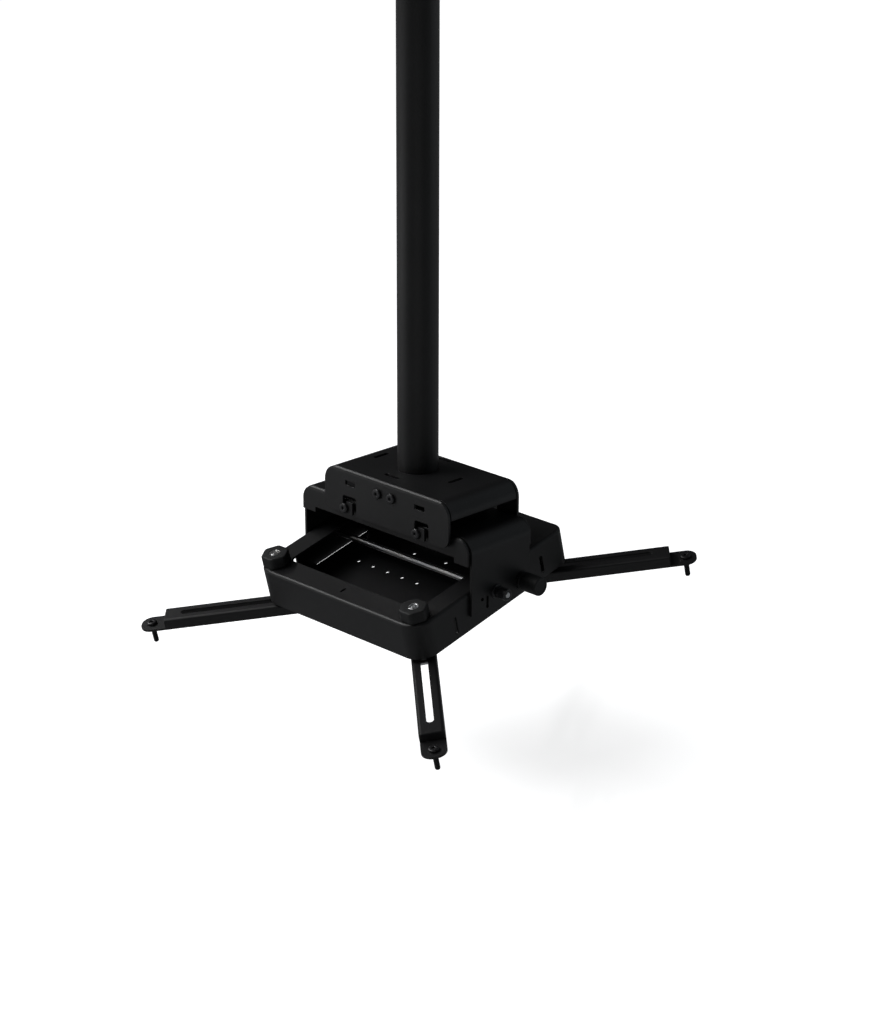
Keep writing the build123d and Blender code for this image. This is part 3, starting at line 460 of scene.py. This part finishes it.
def bright_metal():
    """Zinc-plated steel: pale metal with drawing marks along X and a slight warm and cool drift."""
    look = bpy.context.scene.mount_finish
    material, tree, shader = new_finish("bright_zinc_steel")
    drift = object_noise(tree, scale=60.0)
    marks = object_noise(tree, scale=1.0, stretch=(8.0, 900.0, 900.0))
    cool = (look.steel[0] * 0.86, look.steel[1] * 0.9, look.steel[2] * 0.97)
    set_inputs(
        tree, shader, Metallic=1.0,
        Base_Color=two_tone(tree, drift, cool, tone(look.steel, 1.08)),
        Roughness=spread(tree, marks, 0.27, 0.33))
    bumps(tree, shader, [(marks, 0.01, 0.00001)], look.edge_radius * 0.6)
    return material


def knob_plastic():
    """Moulded plastic: satin black with a fine spark-eroded grain."""
    look = bpy.context.scene.mount_finish
    material, tree, shader = new_finish("moulded_black_plastic")
    clouds = object_noise(tree, scale=90.0)
    grain = object_noise(tree, scale=3200.0, detail=3.0)
    set_inputs(
        tree, shader, Specular_IOR_Level=0.32,
        Base_Color=two_tone(tree, clouds, tone(look.plastic, 0.85), tone(look.plastic, 1.25)),
        Roughness=spread(tree, grain, 0.5, 0.64))
    bumps(tree, shader, [(grain, 0.22, 0.00006)], look.edge_radius)
    return material


FINISHES = {
    "black_paint": satin_paint,
    "dark_hardware": dark_metal,
    "bright_steel": bright_metal,
    "black_plastic": knob_plastic,
}
MADE_FINISHES = {}


def finish(slot):
    """The material of a slot, made once."""
    if slot not in MADE_FINISHES:
        MADE_FINISHES[slot] = FINISHES[slot]()
    return MADE_FINISHES[slot]


def corner_radius(flats):
    """Distance from a hexagon's middle to its corners: half its width across flats, over cos 30 degrees."""
    return flats / 2 / cos(pi / 6)


def pan_head_rings(radius, height, socket, depth):
    """Rings of a pan head on z = 0: side, shoulder of 75 degrees of arc, slight crown, six-sided socket."""
    shoulder = height * 0.42
    outer = [(radius - 0.25, 0.0), (radius, 0.25)]
    outer += arc_points((radius - shoulder, height - shoulder), shoulder, 0, 75, 7)
    outer += [(socket * 1.45, height), (socket * 1.25, height - 0.05)]
    walls = [(socket, height - 0.3), (socket, height - depth + 0.1), (socket - 0.12, height - depth)]
    return np.concatenate([rings(outer), rings(walls, sides=6)])


def screw_shape(length, radius, pitch, neck=None):
    """Pan-head screw along -Z from the underside of its head; a plain neck is (radius, length)."""
    tip = [(radius * 0.55, -length), (radius * 0.72, -length + 0.4)]
    top = -0.2 if neck is None else -neck[1]
    parts = [rings(tip), thread(radius, -length + 0.5, top, pitch, fade_end=neck is not None)]
    if neck is not None:
        parts.append(rings([(neck[0] - 0.15, -neck[1]), (neck[0], -neck[1] + 0.15), (neck[0], -0.02)]))
    parts.append(pan_head_rings(*PAN_HEAD))
    return skin(np.concatenate(parts))


def nut_shape(flats, height, bore, chamfer=0.5):
    """Bored six-sided nut on z = 0 with its corners turned off by a circle that shrinks at both ends."""
    apothem = flats / 2
    corner = corner_radius(flats)
    cut = apothem + (corner - apothem) * 0.25
    ease = 0.35
    outer = [(0.0, cut), (chamfer, corner * 0.99), (height - chamfer, corner * 0.99), (height, cut)]
    inner = rings([(bore + ease, height), (bore, height - ease), (bore, ease), (bore + ease, 0.0)])
    body = [ring(apothem, level, sides=6, limit=limit) for level, limit in outer]
    return skin(np.concatenate(body + [inner]), bored=True)


class MOUNT_OT_finishes(Operator):
    """Give every sheet, tube and fitting of the mount its finish"""
    bl_idname = "mount.finishes"
    bl_label = "Finish the Fixed Pieces"

    def execute(self, context):
        slots = {part["node"]: part["material_slot"] for part in RECORD["subparts"]}
        for name, node in frame["nodes"].items():
            node.data.materials.clear()
            node.data.materials.append(finish(slots[name]))
        return {"FINISHED"}


class MOUNT_OT_face_screws(Operator):
    """Make the pan-head screws in the cap bracket's front and rear plates"""
    bl_idname = "mount.face_screws"
    bl_label = "Plate Screws"

    RADIUS = 2.5
    # Length of a hook screw beyond its nut.
    PAST_NUT = 1.0

    def execute(self, context):
        pitch = context.scene.mount_fasteners.fine_pitch
        radius, height = PAN_HEAD[:2]
        xs, z, front, rear = row_places("hook_screws", radius)
        front_length, rear_length = self.hook_lengths(height)
        front_screw = screw_shape(front_length, self.RADIUS, pitch)
        rear_screw = screw_shape(rear_length, self.RADIUS, pitch)
        shapes = []
        for x in xs:
            shapes.append(placed(front_screw, (x, front + height * MM, z), (0, -1, 0)))
            shapes.append(placed(rear_screw, (x, rear - height * MM, z), (0, 1, 0)))
        add_piece("hook_screw_set", joined(shapes), "head", "dark_hardware", ["hook_screws"])

        xs, z, front, rear = row_places("brake_screws", radius)
        screw = screw_shape((rear - front) / MM - height, self.RADIUS, pitch)
        shapes = [placed(screw, (x, front + height * MM, z), (0, -1, 0)) for x in xs]
        add_piece("brake_screw_pair", joined(shapes), "head", "dark_hardware", ["brake_screws"])
        return {"FINISHED"}

    def hook_lengths(self, head_height):
        """Front and rear lengths under the head: each ends a little past its nut."""
        low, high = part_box("hook_screws")
        nut_low, nut_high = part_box("hook_nuts")
        to_nuts = ((nut_low.y - low.y) / MM, (high.y - nut_high.y) / MM)
        return [length + HOOK_NUT[1] + self.PAST_NUT - head_height for length in to_nuts]


class MOUNT_OT_nuts(Operator):
    """Make the nuts behind the hook screws, on the rear arm bolts and the column's lock screws"""
    bl_idname = "mount.nuts"
    bl_label = "Nuts and Lock Screws"

    # Width across flats, height, radius of the bore and chamfer.
    REAR_NUT = (10.0, 5.0, 2.9, 0.7)
    WASHER_RADIUS = 8.0
    WASHER_THICKNESS = 1.6
    WASHER_EASE = 0.2
    # Height of the tray's floor above the arm's top.
    FLOOR_TOP = 6.0
    LOCK_FLATS = 10.0
    LOCK_HEAD_HEIGHT = 4.0
    LOCK_RADIUS = 3.0
    # Distance from the column's axis to its inner wall.
    LOCK_TIP = 17.0

    def execute(self, context):
        xs, z, front, rear = row_places("hook_nuts", corner_radius(HOOK_NUT[0]))
        nut = nut_shape(*HOOK_NUT)
        shapes = []
        for x in xs:
            shapes.append(placed(nut, (x, front, z), (0, 1, 0)))
            shapes.append(placed(nut, (x, rear, z), (0, -1, 0)))
        add_piece("hook_nut_set", joined(shapes), "head", "dark_hardware", ["hook_nuts"])

        nut_and_washer = self.nut_and_washer()
        for side in SIDES:
            corner = "rear_" + side
            joint = JOINTS["arm_swing_" + corner]
            across = JOINTS["arm_slide_" + corner]["axis"]
            shape = placed(nut_and_washer, joint["pos_m"], joint["axis"], across)
            add_piece("rear_nut_and_washer_" + side, shape, "bolt_" + corner, "dark_hardware",
                      ["rear_nut_" + side])

        low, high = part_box("ceiling_lock_screws")
        z = (low.z + high.z) / 2
        screw = self.lock_screw(high.x / MM, context.scene.mount_fasteners.axle_pitch)
        shapes = [placed(screw, (0, 0, z), (way, 0, 0)) for way in (1, -1)]
        add_piece("column_lock_screw_pair", joined(shapes), "column", "dark_hardware",
                  ["ceiling_lock_screws"])
        return {"FINISHED"}

    def nut_and_washer(self):
        """Six-sided nut on a turned washer with eased rims, which lies on the tray's floor."""
        bore = self.REAR_NUT[2]
        radius = self.WASHER_RADIUS
        thick = self.WASHER_THICKNESS
        ease = self.WASHER_EASE
        washer = skin(rings([
            (radius - ease, 0.0), (radius, ease), (radius, thick - ease), (radius - ease, thick),
            (bore, thick), (bore, 0.0),
        ]), bored=True)
        nut = nut_shape(*self.REAR_NUT)
        return joined([raised(nut, self.FLOOR_TOP + thick), raised(washer, self.FLOOR_TOP)])

    def lock_screw(self, reach, pitch):
        """Six-sided bolt along +Z whose tip lies at the column's inner wall and whose head ends at reach."""
        apothem = self.LOCK_FLATS / 2
        corner = corner_radius(self.LOCK_FLATS)
        start = reach - self.LOCK_HEAD_HEIGHT
        radius = self.LOCK_RADIUS
        tip = self.LOCK_TIP
        return skin(np.concatenate([
            rings([(radius * 0.7, tip)]),
            thread(radius, tip + 0.6, start - 0.8, pitch),
            rings([(radius * 0.9, start - 0.6)]),
            ring(apothem, start - 0.5, sides=6, limit=corner * 0.97),
            ring(apothem, reach - 0.7, sides=6, limit=corner * 0.99),
            ring(apothem, reach, sides=6, limit=apothem + (corner - apothem) * 0.15),
            rings([(apothem * 0.6, reach)]),
        ]))


class MOUNT_OT_tilt_axle(Operator):
    """Make the bright axle with its threaded ends and the two dark collar nuts"""
    bl_idname = "mount.tilt_axle"
    bl_label = "Tilt Axle"

    RADIUS = 3.0
    THREAD_LENGTH = 16.0
    NUT_FLATS = 10.0
    NUT_TOP = 6.5
    FLANGE_RADIUS = 6.5
    FLANGE_THICKNESS = 1.3
    COLLAR_RADIUS = 5.5
    COLLAR_TOP = 14.1
    COLLAR_RIM = 0.7

    def execute(self, context):
        y, z, _, reach = level_axis("tilt_axle")
        shape = placed(self.rod(reach, context.scene.mount_fasteners.axle_pitch), (0, y, z), (1, 0, 0))
        add_piece("tilt_axle_rod", shape, "head", "bright_steel", ["tilt_axle"])
        for side, sign in zip(SIDES, (-1, 1)):
            low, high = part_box("axle_nut_" + side)
            face = low.x if sign > 0 else high.x
            shape = placed(self.collar_nut(), (face, y, z), (sign, 0, 0))
            add_piece("axle_collar_nut_" + side, shape, "head", "dark_hardware", ["axle_nut_" + side])
        return {"FINISHED"}

    def rod(self, reach, pitch):
        """Round rod from -reach to reach on Z, with a thread and a tapered tip at each end."""
        radius = self.RADIUS
        inner = reach - self.THREAD_LENGTH
        return skin(np.concatenate([
            rings([(radius * 0.75, -reach), (radius * 0.88, -reach + 0.5)]),
            thread(radius, -reach + 0.6, -inner, pitch),
            rings([(radius, -inner + 0.2), (radius, 0.0), (radius, inner - 0.2)]),
            thread(radius, inner, reach - 0.6, pitch),
            rings([(radius * 0.88, reach - 0.5), (radius * 0.75, reach)]),
        ]))

    def collar_nut(self):
        """Bored nut on z = 0: thin round flange, six sides, then a round collar with a soft rim."""
        apothem = self.NUT_FLATS / 2
        corner = corner_radius(self.NUT_FLATS)
        nut_top = self.NUT_TOP
        flange = self.FLANGE_RADIUS
        thick = self.FLANGE_THICKNESS
        collar = self.COLLAR_RADIUS
        top = self.COLLAR_TOP
        rim = self.COLLAR_RIM
        bore = self.RADIUS + 0.02
        return skin(np.concatenate([
            rings([(flange - 0.2, 0.0), (flange, 0.25), (flange, thick - 0.3), (flange - 0.5, thick)]),
            ring(apothem, thick + 0.1, sides=6, limit=corner * 0.98),
            ring(apothem, nut_top - 0.8, sides=6, limit=corner * 0.99),
            ring(apothem, nut_top, sides=6, limit=apothem),
            rings([(collar + 0.2, nut_top + 0.1), (collar, nut_top + 0.4)]),
            rings(arc_points((collar - rim, top - rim), rim, 0, 90)),
            rings([(bore + 0.3, top), (bore, top - 0.3), (bore, 0.3), (bore + 0.3, 0.0)]),
        ]), bored=True)


class MOUNT_OT_tilt_knob(Operator):
    """Make the long round knob that locks the tilt, with its clamping screw"""
    bl_idname = "mount.tilt_knob"
    bl_label = "Tilt Lock Knob"

    RADIUS = 8.75
    RIM = 1.3
    DISH = 0.5
    SCREW_RADIUS = 2.5

    def execute(self, context):
        y, z, tip, end = level_axis("tilt_knob")
        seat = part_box("tilt_knob_washer")[1].x / MM
        shape = self.knob(tip, seat, end, context.scene.mount_fasteners.fine_pitch)
        add_piece("tilt_lock_knob", placed(shape, (0, y, z), (1, 0, 0)), "tilt_lock", "black_plastic",
                  ["tilt_knob"])
        return {"FINISHED"}

    def knob(self, tip, seat, end, pitch):
        """Turned profile: screw from its tip to the seat, foot with a groove, plain side, rim, dished end."""
        screw = self.SCREW_RADIUS
        radius = self.RADIUS
        rim = self.RIM
        dish = end - self.DISH
        body = [
            (screw, seat - 0.1), (radius - 1.2, seat), (radius - 0.4, seat + 0.4), (radius - 0.2, seat + 2.2),
            (radius - 0.6, seat + 2.7), (radius - 0.6, seat + 3.3), (radius - 0.1, seat + 3.8),
            (radius, seat + 5.0),
        ]
        body += arc_points((radius - rim, end - rim), rim, 0, 90, 8)
        body += [(radius - 2.2, end - 0.05), (radius - 2.6, dish), (radius * 0.3, dish)]
        return skin(np.concatenate([
            rings([(screw * 0.7, tip)]),
            thread(screw, tip + 0.4, seat - 0.2, pitch),
            rings(body),
        ]))


class MOUNT_OT_hex_knobs(Operator):
    """Make the two six-sided knobs on the tray's front corners, with their metal inserts and round feet"""
    bl_idname = "mount.hex_knobs"
    bl_label = "Tray Knobs"

    APOTHEM = 12.0
    # Radius at which the six corners are cut.
    CORNER = 13.1
    HEIGHT = 11.5
    # Radius of the rounded top edge.
    EDGE = 1.5
    SHARPNESS = 90.0
    INSERT_RADIUS = 5.0
    INSERT_DEPTH = 8.0
    BORE = 3.1
    FOOT_BORE = 4.0
    FOOT_RADIUS = 6.5
    FOOT_HEIGHT = 0.4
    # Play between the insert and the knob.
    PLAY = 0.02

    def execute(self, context):
        for side in SIDES:
            joint = JOINTS["arm_swing_front_" + side]
            origin = self.flange_point(side, joint)
            shape = placed(self.knob(), origin, joint["axis"], (0, 1, 0))
            add_piece("tray_knob_" + side, shape, "hex_knob_" + side, "black_plastic", ["hex_knob_" + side])
            shape = placed(self.insert(), origin, joint["axis"], (0, 1, 0))
            add_piece("threaded_insert_" + side, shape, "hex_knob_" + side, "bright_steel",
                      ["knob_insert_" + side])
        return {"FINISHED"}

    def flange_point(self, side, joint):
        """Point on the bolt's axis at the top of the tray's flange: half the knob below its middle."""
        low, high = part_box("hex_knob_" + side)
        axis = Vector(joint["axis"])
        start = Vector(joint["pos_m"])
        middle = (low + high) / 2
        return start + axis * ((middle - start).dot(axis) - self.HEIGHT * MM / 2)

    def knob(self):
        """Bored knob: round foot, six flats with eased corners, a rounded top edge, a seat for the insert."""
        wide = self.APOTHEM
        high = self.HEIGHT
        edge = self.EDGE
        low = self.FOOT_HEIGHT
        foot = self.FOOT_RADIUS
        shape = {"sides": 6, "sharpness": self.SHARPNESS}
        parts = [
            rings([(foot, 0.0), (foot, low - 0.02)]),
            ring(wide - 0.4, low, limit=self.CORNER - 0.4, **shape),
            ring(wide, low + 0.4, limit=self.CORNER, **shape),
        ]
        for radius, height in arc_points((wide - edge, high - edge), edge, 0, 90, 8):
            parts.append(ring(radius, height, limit=self.CORNER - (wide - radius), **shape))
        seat = self.INSERT_RADIUS + self.PLAY
        floor = high - self.INSERT_DEPTH
        parts.append(rings([
            (self.INSERT_RADIUS + 0.3, high), (seat, high - 0.3), (seat, floor),
            (self.BORE, floor), (self.BORE, low), (self.FOOT_BORE, low), (self.FOOT_BORE, 0.0),
        ]))
        return skin(np.concatenate(parts), bored=True)

    def insert(self):
        """Bored metal insert with a turned groove in its face and eased rims."""
        outer = self.INSERT_RADIUS - self.PLAY
        high = self.HEIGHT
        low = high - self.INSERT_DEPTH
        groove = high - 0.12
        bore = self.BORE
        return skin(rings([
            (outer, low), (outer, high - 0.25), (outer - 0.25, high),
            (outer - 0.75, high), (outer - 0.85, groove), (outer - 1.05, groove), (outer - 1.15, high),
            (bore + 0.35, high), (bore, high - 0.35), (bore, low),
        ]), bored=True)


class MOUNT_OT_arm_bolts(Operator):
    """Make the square-headed bolts that hold the arms, with their threads"""
    bl_idname = "mount.arm_bolts"
    bl_label = "Arm Bolts"

    # Half the width of the square head, measured to its flats.
    HEAD_HALF = 9.2
    HEAD_THICKNESS = 3.2
    HEAD_SHARPNESS = 36.0
    ARM_SHEET = 2.0
    RADIUS = 3.0
    # Height above the arm's top at which the thread starts.
    NECK_TOP = 8.0

    def execute(self, context):
        pitch = context.scene.mount_fasteners.stud_pitch
        for corner in CORNERS:
            joint = JOINTS["arm_swing_" + corner]
            across = JOINTS["arm_slide_" + corner]["axis"]
            bolt = self.bolt(self.end(corner, joint), pitch)
            shape = placed(bolt, joint["pos_m"], joint["axis"], across)
            add_piece("threaded_arm_bolt_" + corner, shape, "bolt_" + corner, "bright_steel",
                      ["arm_bolt_" + corner])
        return {"FINISHED"}

    def end(self, corner, joint):
        """Height of the bolt's end above the arm's top, in millimetres."""
        axis = Vector(joint["axis"])
        start = Vector(joint["pos_m"])
        points = frame["nodes"]["arm_bolt_" + corner].data.vertices
        return max((point.co - start).dot(axis) for point in points) / MM

    def bolt(self, end, pitch):
        """Square head with rounded corners under the arm's top, a plain neck, then thread to the end."""
        half = self.HEAD_HALF
        low = -self.ARM_SHEET - self.HEAD_THICKNESS
        high = -self.ARM_SHEET
        radius = self.RADIUS
        neck_top = self.NECK_TOP
        head = [
            (half - 0.6, low), (half - 0.15, low + 0.3), (half, low + 0.8),
            (half, high - 0.9), (half - 0.8, high - 0.1), (half - 1.2, high - 0.02),
        ]
        return skin(np.concatenate([
            rings(head, sides=4, sharpness=self.HEAD_SHARPNESS),
            rings([(radius, high), (radius, neck_top - 0.4)]),
            thread(radius, neck_top, end - 0.7, pitch),
            rings([(radius * 0.9, end - 0.5), (radius * 0.78, end)]),
        ]))


class MOUNT_OT_arm_screws(Operator):
    """Make the screws that hang through the arms' outer tabs"""
    bl_idname = "mount.arm_screws"
    bl_label = "Arm Screws"

    NECK_RADIUS = 3.0
    NECK_LENGTH = 2.0
    LENGTH = 20.0

    def execute(self, context):
        pitch = context.scene.mount_fasteners.fine_pitch
        neck = (self.NECK_RADIUS, self.NECK_LENGTH)
        for corner in CORNERS:
            mount = MOUNTS["arm_screw_" + corner]
            down = Vector(mount["axis"])
            middle = Vector(mount["pos_m"])
            reach = mount["dims"]["length_mm"] / 2 * MM
            seat = middle - down * (reach + self.NECK_LENGTH * MM)
            shape = placed(screw_shape(self.LENGTH, mount["dims"]["r_mm"], pitch, neck), seat, -down)
            add_piece("threaded_arm_screw_" + corner, shape, "arm_" + corner, "dark_hardware",
                      ["arm_screw_" + corner])
        return {"FINISHED"}


class MOUNT_OT_welds(Operator):
    """Make the weld bead round the ceiling socket"""
    bl_idname = "mount.welds"
    bl_label = "Welds"

    # Radius of the bead's section.
    BEAD = 2.0
    SOCKET_RADIUS = 23.0
    PLATE_THICKNESS = 4.0
    CREASE = 80.0
    STEPS = AROUND * 6
    # Ripples and slower waves round the ring, with heights as shares of the bead's radius.
    RIPPLES = 54
    RIPPLE_HEIGHT = 0.07
    RIPPLE_LEAN = 0.9
    WAVES = 5
    WAVE_HEIGHT = 0.03

    def execute(self, context):
        shape = placed(self.bead(), (0, 0, -self.PLATE_THICKNESS * MM), (0, 0, -1))
        add_piece("socket_weld", shape, "column", "black_paint", crease=self.CREASE)
        return {"FINISHED"}

    def bead(self):
        """Ring of weld on z = 0.

        A point at angle a round the socket and t round the bead's own section lies at radius
        socket + size cos t and height size sin t. Size is bead * (1 + ripple * sin(n a + lean *
        sin(n a)) + wave * sin(m a)), a leaning ripple of n crests over m slow waves.
        """
        turn = np.arange(self.STEPS)[:, None] * 2 * pi / self.STEPS
        section = (np.arange(AROUND) * 2 * pi / AROUND)[None, :]
        phase = self.RIPPLES * turn
        ripple = self.RIPPLE_HEIGHT * np.sin(phase + self.RIPPLE_LEAN * np.sin(phase))
        wave = self.WAVE_HEIGHT * np.sin(self.WAVES * turn)
        size = self.BEAD * (1.0 + ripple + wave) * np.ones_like(section)
        away = self.SOCKET_RADIUS + size * np.cos(section)
        grid = np.stack([away * np.cos(turn), away * np.sin(turn), size * np.sin(section)], axis=2)
        return skin(grid[::-1], bored=True)


class MOUNT_OT_stage(Operator):
    """Set the pale floor, the studio lights and the camera"""
    bl_idname = "mount.stage"
    bl_label = "Stage"

    def execute(self, context):
        stage = context.scene.mount_stage
        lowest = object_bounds()[0][2]
        self.floor(stage, lowest)
        self.world(context.scene, stage)
        aim = Vector((0, 0, lowest + AIM_HEIGHT))
        self.far_light("overhead_light", SUN_DIRECTION, stage.sun_strength)
        for name, direction, distance, size, colour, power in AREA_LIGHTS:
            place = aim + Vector(direction) * distance
            self.area(name, place, aim, size, getattr(stage, power), colour)
        self.camera(context.scene, stage)
        context.scene.view_settings.view_transform = "Standard"
        return {"FINISHED"}

    def floor(self, stage, lowest):
        """Large flat plate that the camera sees near white, and that glossy surfaces mirror more faintly."""
        half = FLOOR_HALF_WIDTH
        mesh = bpy.data.meshes.new("floor")
        corners = [(-half, -half, 0), (half, -half, 0), (half, half, 0), (-half, half, 0)]
        points = np.array(corners) + np.array([0, 0, lowest - stage.floor_drop])
        mesh.from_pydata(points.tolist(), [], [(0, 1, 2, 3)])
        plate = bpy.data.objects.new("floor", mesh)
        bpy.context.scene.collection.objects.link(plate)
        plate.data.materials.append(self.floor_finish(stage))
        plate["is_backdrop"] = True

    def floor_finish(self, stage):
        """Pale matt surface, with a glow added for the camera and a faint even sheen for mirrored rays."""
        material, tree, shader = new_finish("pale_floor")
        clouds = object_noise(tree, scale=1.2)
        pale = two_tone(tree, clouds, tone(stage.floor_colour, 0.985), tone(stage.floor_colour, 1.01))
        set_inputs(tree, shader, Base_Color=pale, Roughness=0.75, Specular_IOR_Level=0.2)
        glow = add_node(tree, "ShaderNodeEmission", Color=(*WHITE, 1), Strength=stage.floor_glow)
        sheen = add_node(tree, "ShaderNodeEmission", Color=(*PALE_BLUE, 1), Strength=stage.floor_sheen)
        seen = tree.nodes.new("ShaderNodeAddShader")
        tree.links.new(shader.outputs["BSDF"], seen.inputs[0])
        tree.links.new(glow.outputs["Emission"], seen.inputs[1])
        ray = tree.nodes.new("ShaderNodeLightPath").outputs
        bounced = tree.nodes.new("ShaderNodeMath")
        bounced.operation = "MAXIMUM"
        tree.links.new(ray["Is Glossy Ray"], bounced.inputs[0])
        tree.links.new(ray["Is Transmission Ray"], bounced.inputs[1])
        unseen = chosen(tree, bounced.outputs["Value"], shader.outputs["BSDF"], sheen.outputs["Emission"])
        surface = chosen(tree, ray["Is Camera Ray"], unseen, seen.outputs["Shader"])
        output = next(node for node in tree.nodes if node.type == "OUTPUT_MATERIAL")
        tree.links.new(surface, output.inputs["Surface"])
        return material

    def world(self, scene, stage):
        """Faint even light from all round, which the camera sees as white beyond the floor's edge."""
        world = bpy.data.worlds.new("studio")
        world.use_nodes = True
        tree = world.node_tree
        lit = tree.nodes["Background"]
        set_inputs(tree, lit, Color=(*PALE_BLUE, 1), Strength=stage.world_strength)
        seen = add_node(tree, "ShaderNodeBackground", Color=(*WHITE, 1), Strength=1.0)
        camera_ray = tree.nodes.new("ShaderNodeLightPath").outputs["Is Camera Ray"]
        surface = chosen(tree, camera_ray, lit.outputs["Background"], seen.outputs["Background"])
        tree.links.new(surface, tree.nodes["World Output"].inputs["Surface"])
        scene.world = world

    def far_light(self, name, direction, strength):
        """Soft light from far away in a direction, even over the whole floor."""
        lamp = bpy.data.lights.new(name, "SUN")
        lamp.energy = strength
        lamp.angle = radians(SUN_SPREAD)
        light = bpy.data.objects.new(name, lamp)
        bpy.context.scene.collection.objects.link(light)
        light.rotation_euler = Vector(direction).to_track_quat("Z", "Y").to_euler()

    def area(self, name, place, aim, size, power, colour):
        """Rectangular soft light at a place, turned toward an aim point, its long side level."""
        lamp = bpy.data.lights.new(name, "AREA")
        lamp.shape = "RECTANGLE"
        lamp.size, lamp.size_y = size
        lamp.energy = power
        lamp.color = colour
        light = bpy.data.objects.new(name, lamp)
        bpy.context.scene.collection.objects.link(light)
        light.location = place
        light.rotation_euler = (aim - place).to_track_quat("-Z", "Y").to_euler()

    def camera(self, scene, stage):
        """Long-lens camera at the picture's viewing angle, turned by azimuth, elevation and roll."""
        turn, rise, roll = stage.azimuth, stage.elevation, stage.roll
        back = Vector((sin(turn) * cos(rise), -cos(turn) * cos(rise), sin(rise)))
        right = Vector((cos(turn), sin(turn), 0))
        up = back.cross(right)
        leaned_right = right * cos(roll) + up * sin(roll)
        leaned_up = -right * sin(roll) + up * cos(roll)
        lens = bpy.data.cameras.new("camera")
        lens.sensor_width = SENSOR_MM
        lens.lens = stage.focal_pixels / max(PICTURE_WIDTH, PICTURE_HEIGHT) * SENSOR_MM
        lens.clip_end = CLIP_END
        camera = bpy.data.objects.new("camera", lens)
        scene.collection.objects.link(camera)
        pose = Matrix((leaned_right, leaned_up, back)).transposed().to_4x4()
        pose.translation = Vector(stage.eye)
        camera.matrix_world = pose
        scene.camera = camera


OPERATORS = (
    MOUNT_OT_finishes,
    MOUNT_OT_face_screws,
    MOUNT_OT_nuts,
    MOUNT_OT_tilt_axle,
    MOUNT_OT_tilt_knob,
    MOUNT_OT_hex_knobs,
    MOUNT_OT_arm_bolts,
    MOUNT_OT_arm_screws,
    MOUNT_OT_welds,
    MOUNT_OT_stage,
)


class MOUNT_PT_looks(Panel):
    """Sidebar panel that lists the mount's pieces and settings."""
    bl_idname = "MOUNT_PT_looks"
    bl_label = "Ceiling Mount"
    bl_space_type = "VIEW_3D"
    bl_region_type = "UI"
    bl_category = "Ceiling Mount"

    def draw(self, context):
        scene = context.scene
        for operator in OPERATORS:
            self.layout.operator(operator.bl_idname)
        for settings in (scene.mount_finish, scene.mount_fasteners, scene.mount_stage):
            box = self.layout.box()
            for name in settings.__annotations__:
                box.prop(settings, name)


SETTINGS = {
    "mount_finish": FinishSettings,
    "mount_fasteners": FastenerSettings,
    "mount_stage": StageSettings,
}
CLASSES = tuple(SETTINGS.values()) + OPERATORS + (MOUNT_PT_looks,)


def register():
    """Register the classes and put the settings on the scene."""
    for made in CLASSES:
        bpy.utils.register_class(made)
    for name, settings in SETTINGS.items():
        setattr(bpy.types.Scene, name, PointerProperty(type=settings))


def unregister():
    """Take the settings and classes off again."""
    for name in SETTINGS:
        delattr(bpy.types.Scene, name)
    for made in reversed(CLASSES):
        bpy.utils.unregister_class(made)


def main():
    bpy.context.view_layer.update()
    register()
    bpy.ops.mount.finishes()
    bpy.ops.mount.face_screws()
    bpy.ops.mount.nuts()
    bpy.ops.mount.tilt_axle()
    bpy.ops.mount.tilt_knob()
    bpy.ops.mount.hex_knobs()
    bpy.ops.mount.arm_bolts()
    bpy.ops.mount.arm_screws()
    bpy.ops.mount.welds()
    bpy.ops.mount.stage()


if __name__ == "__main__":
    main()
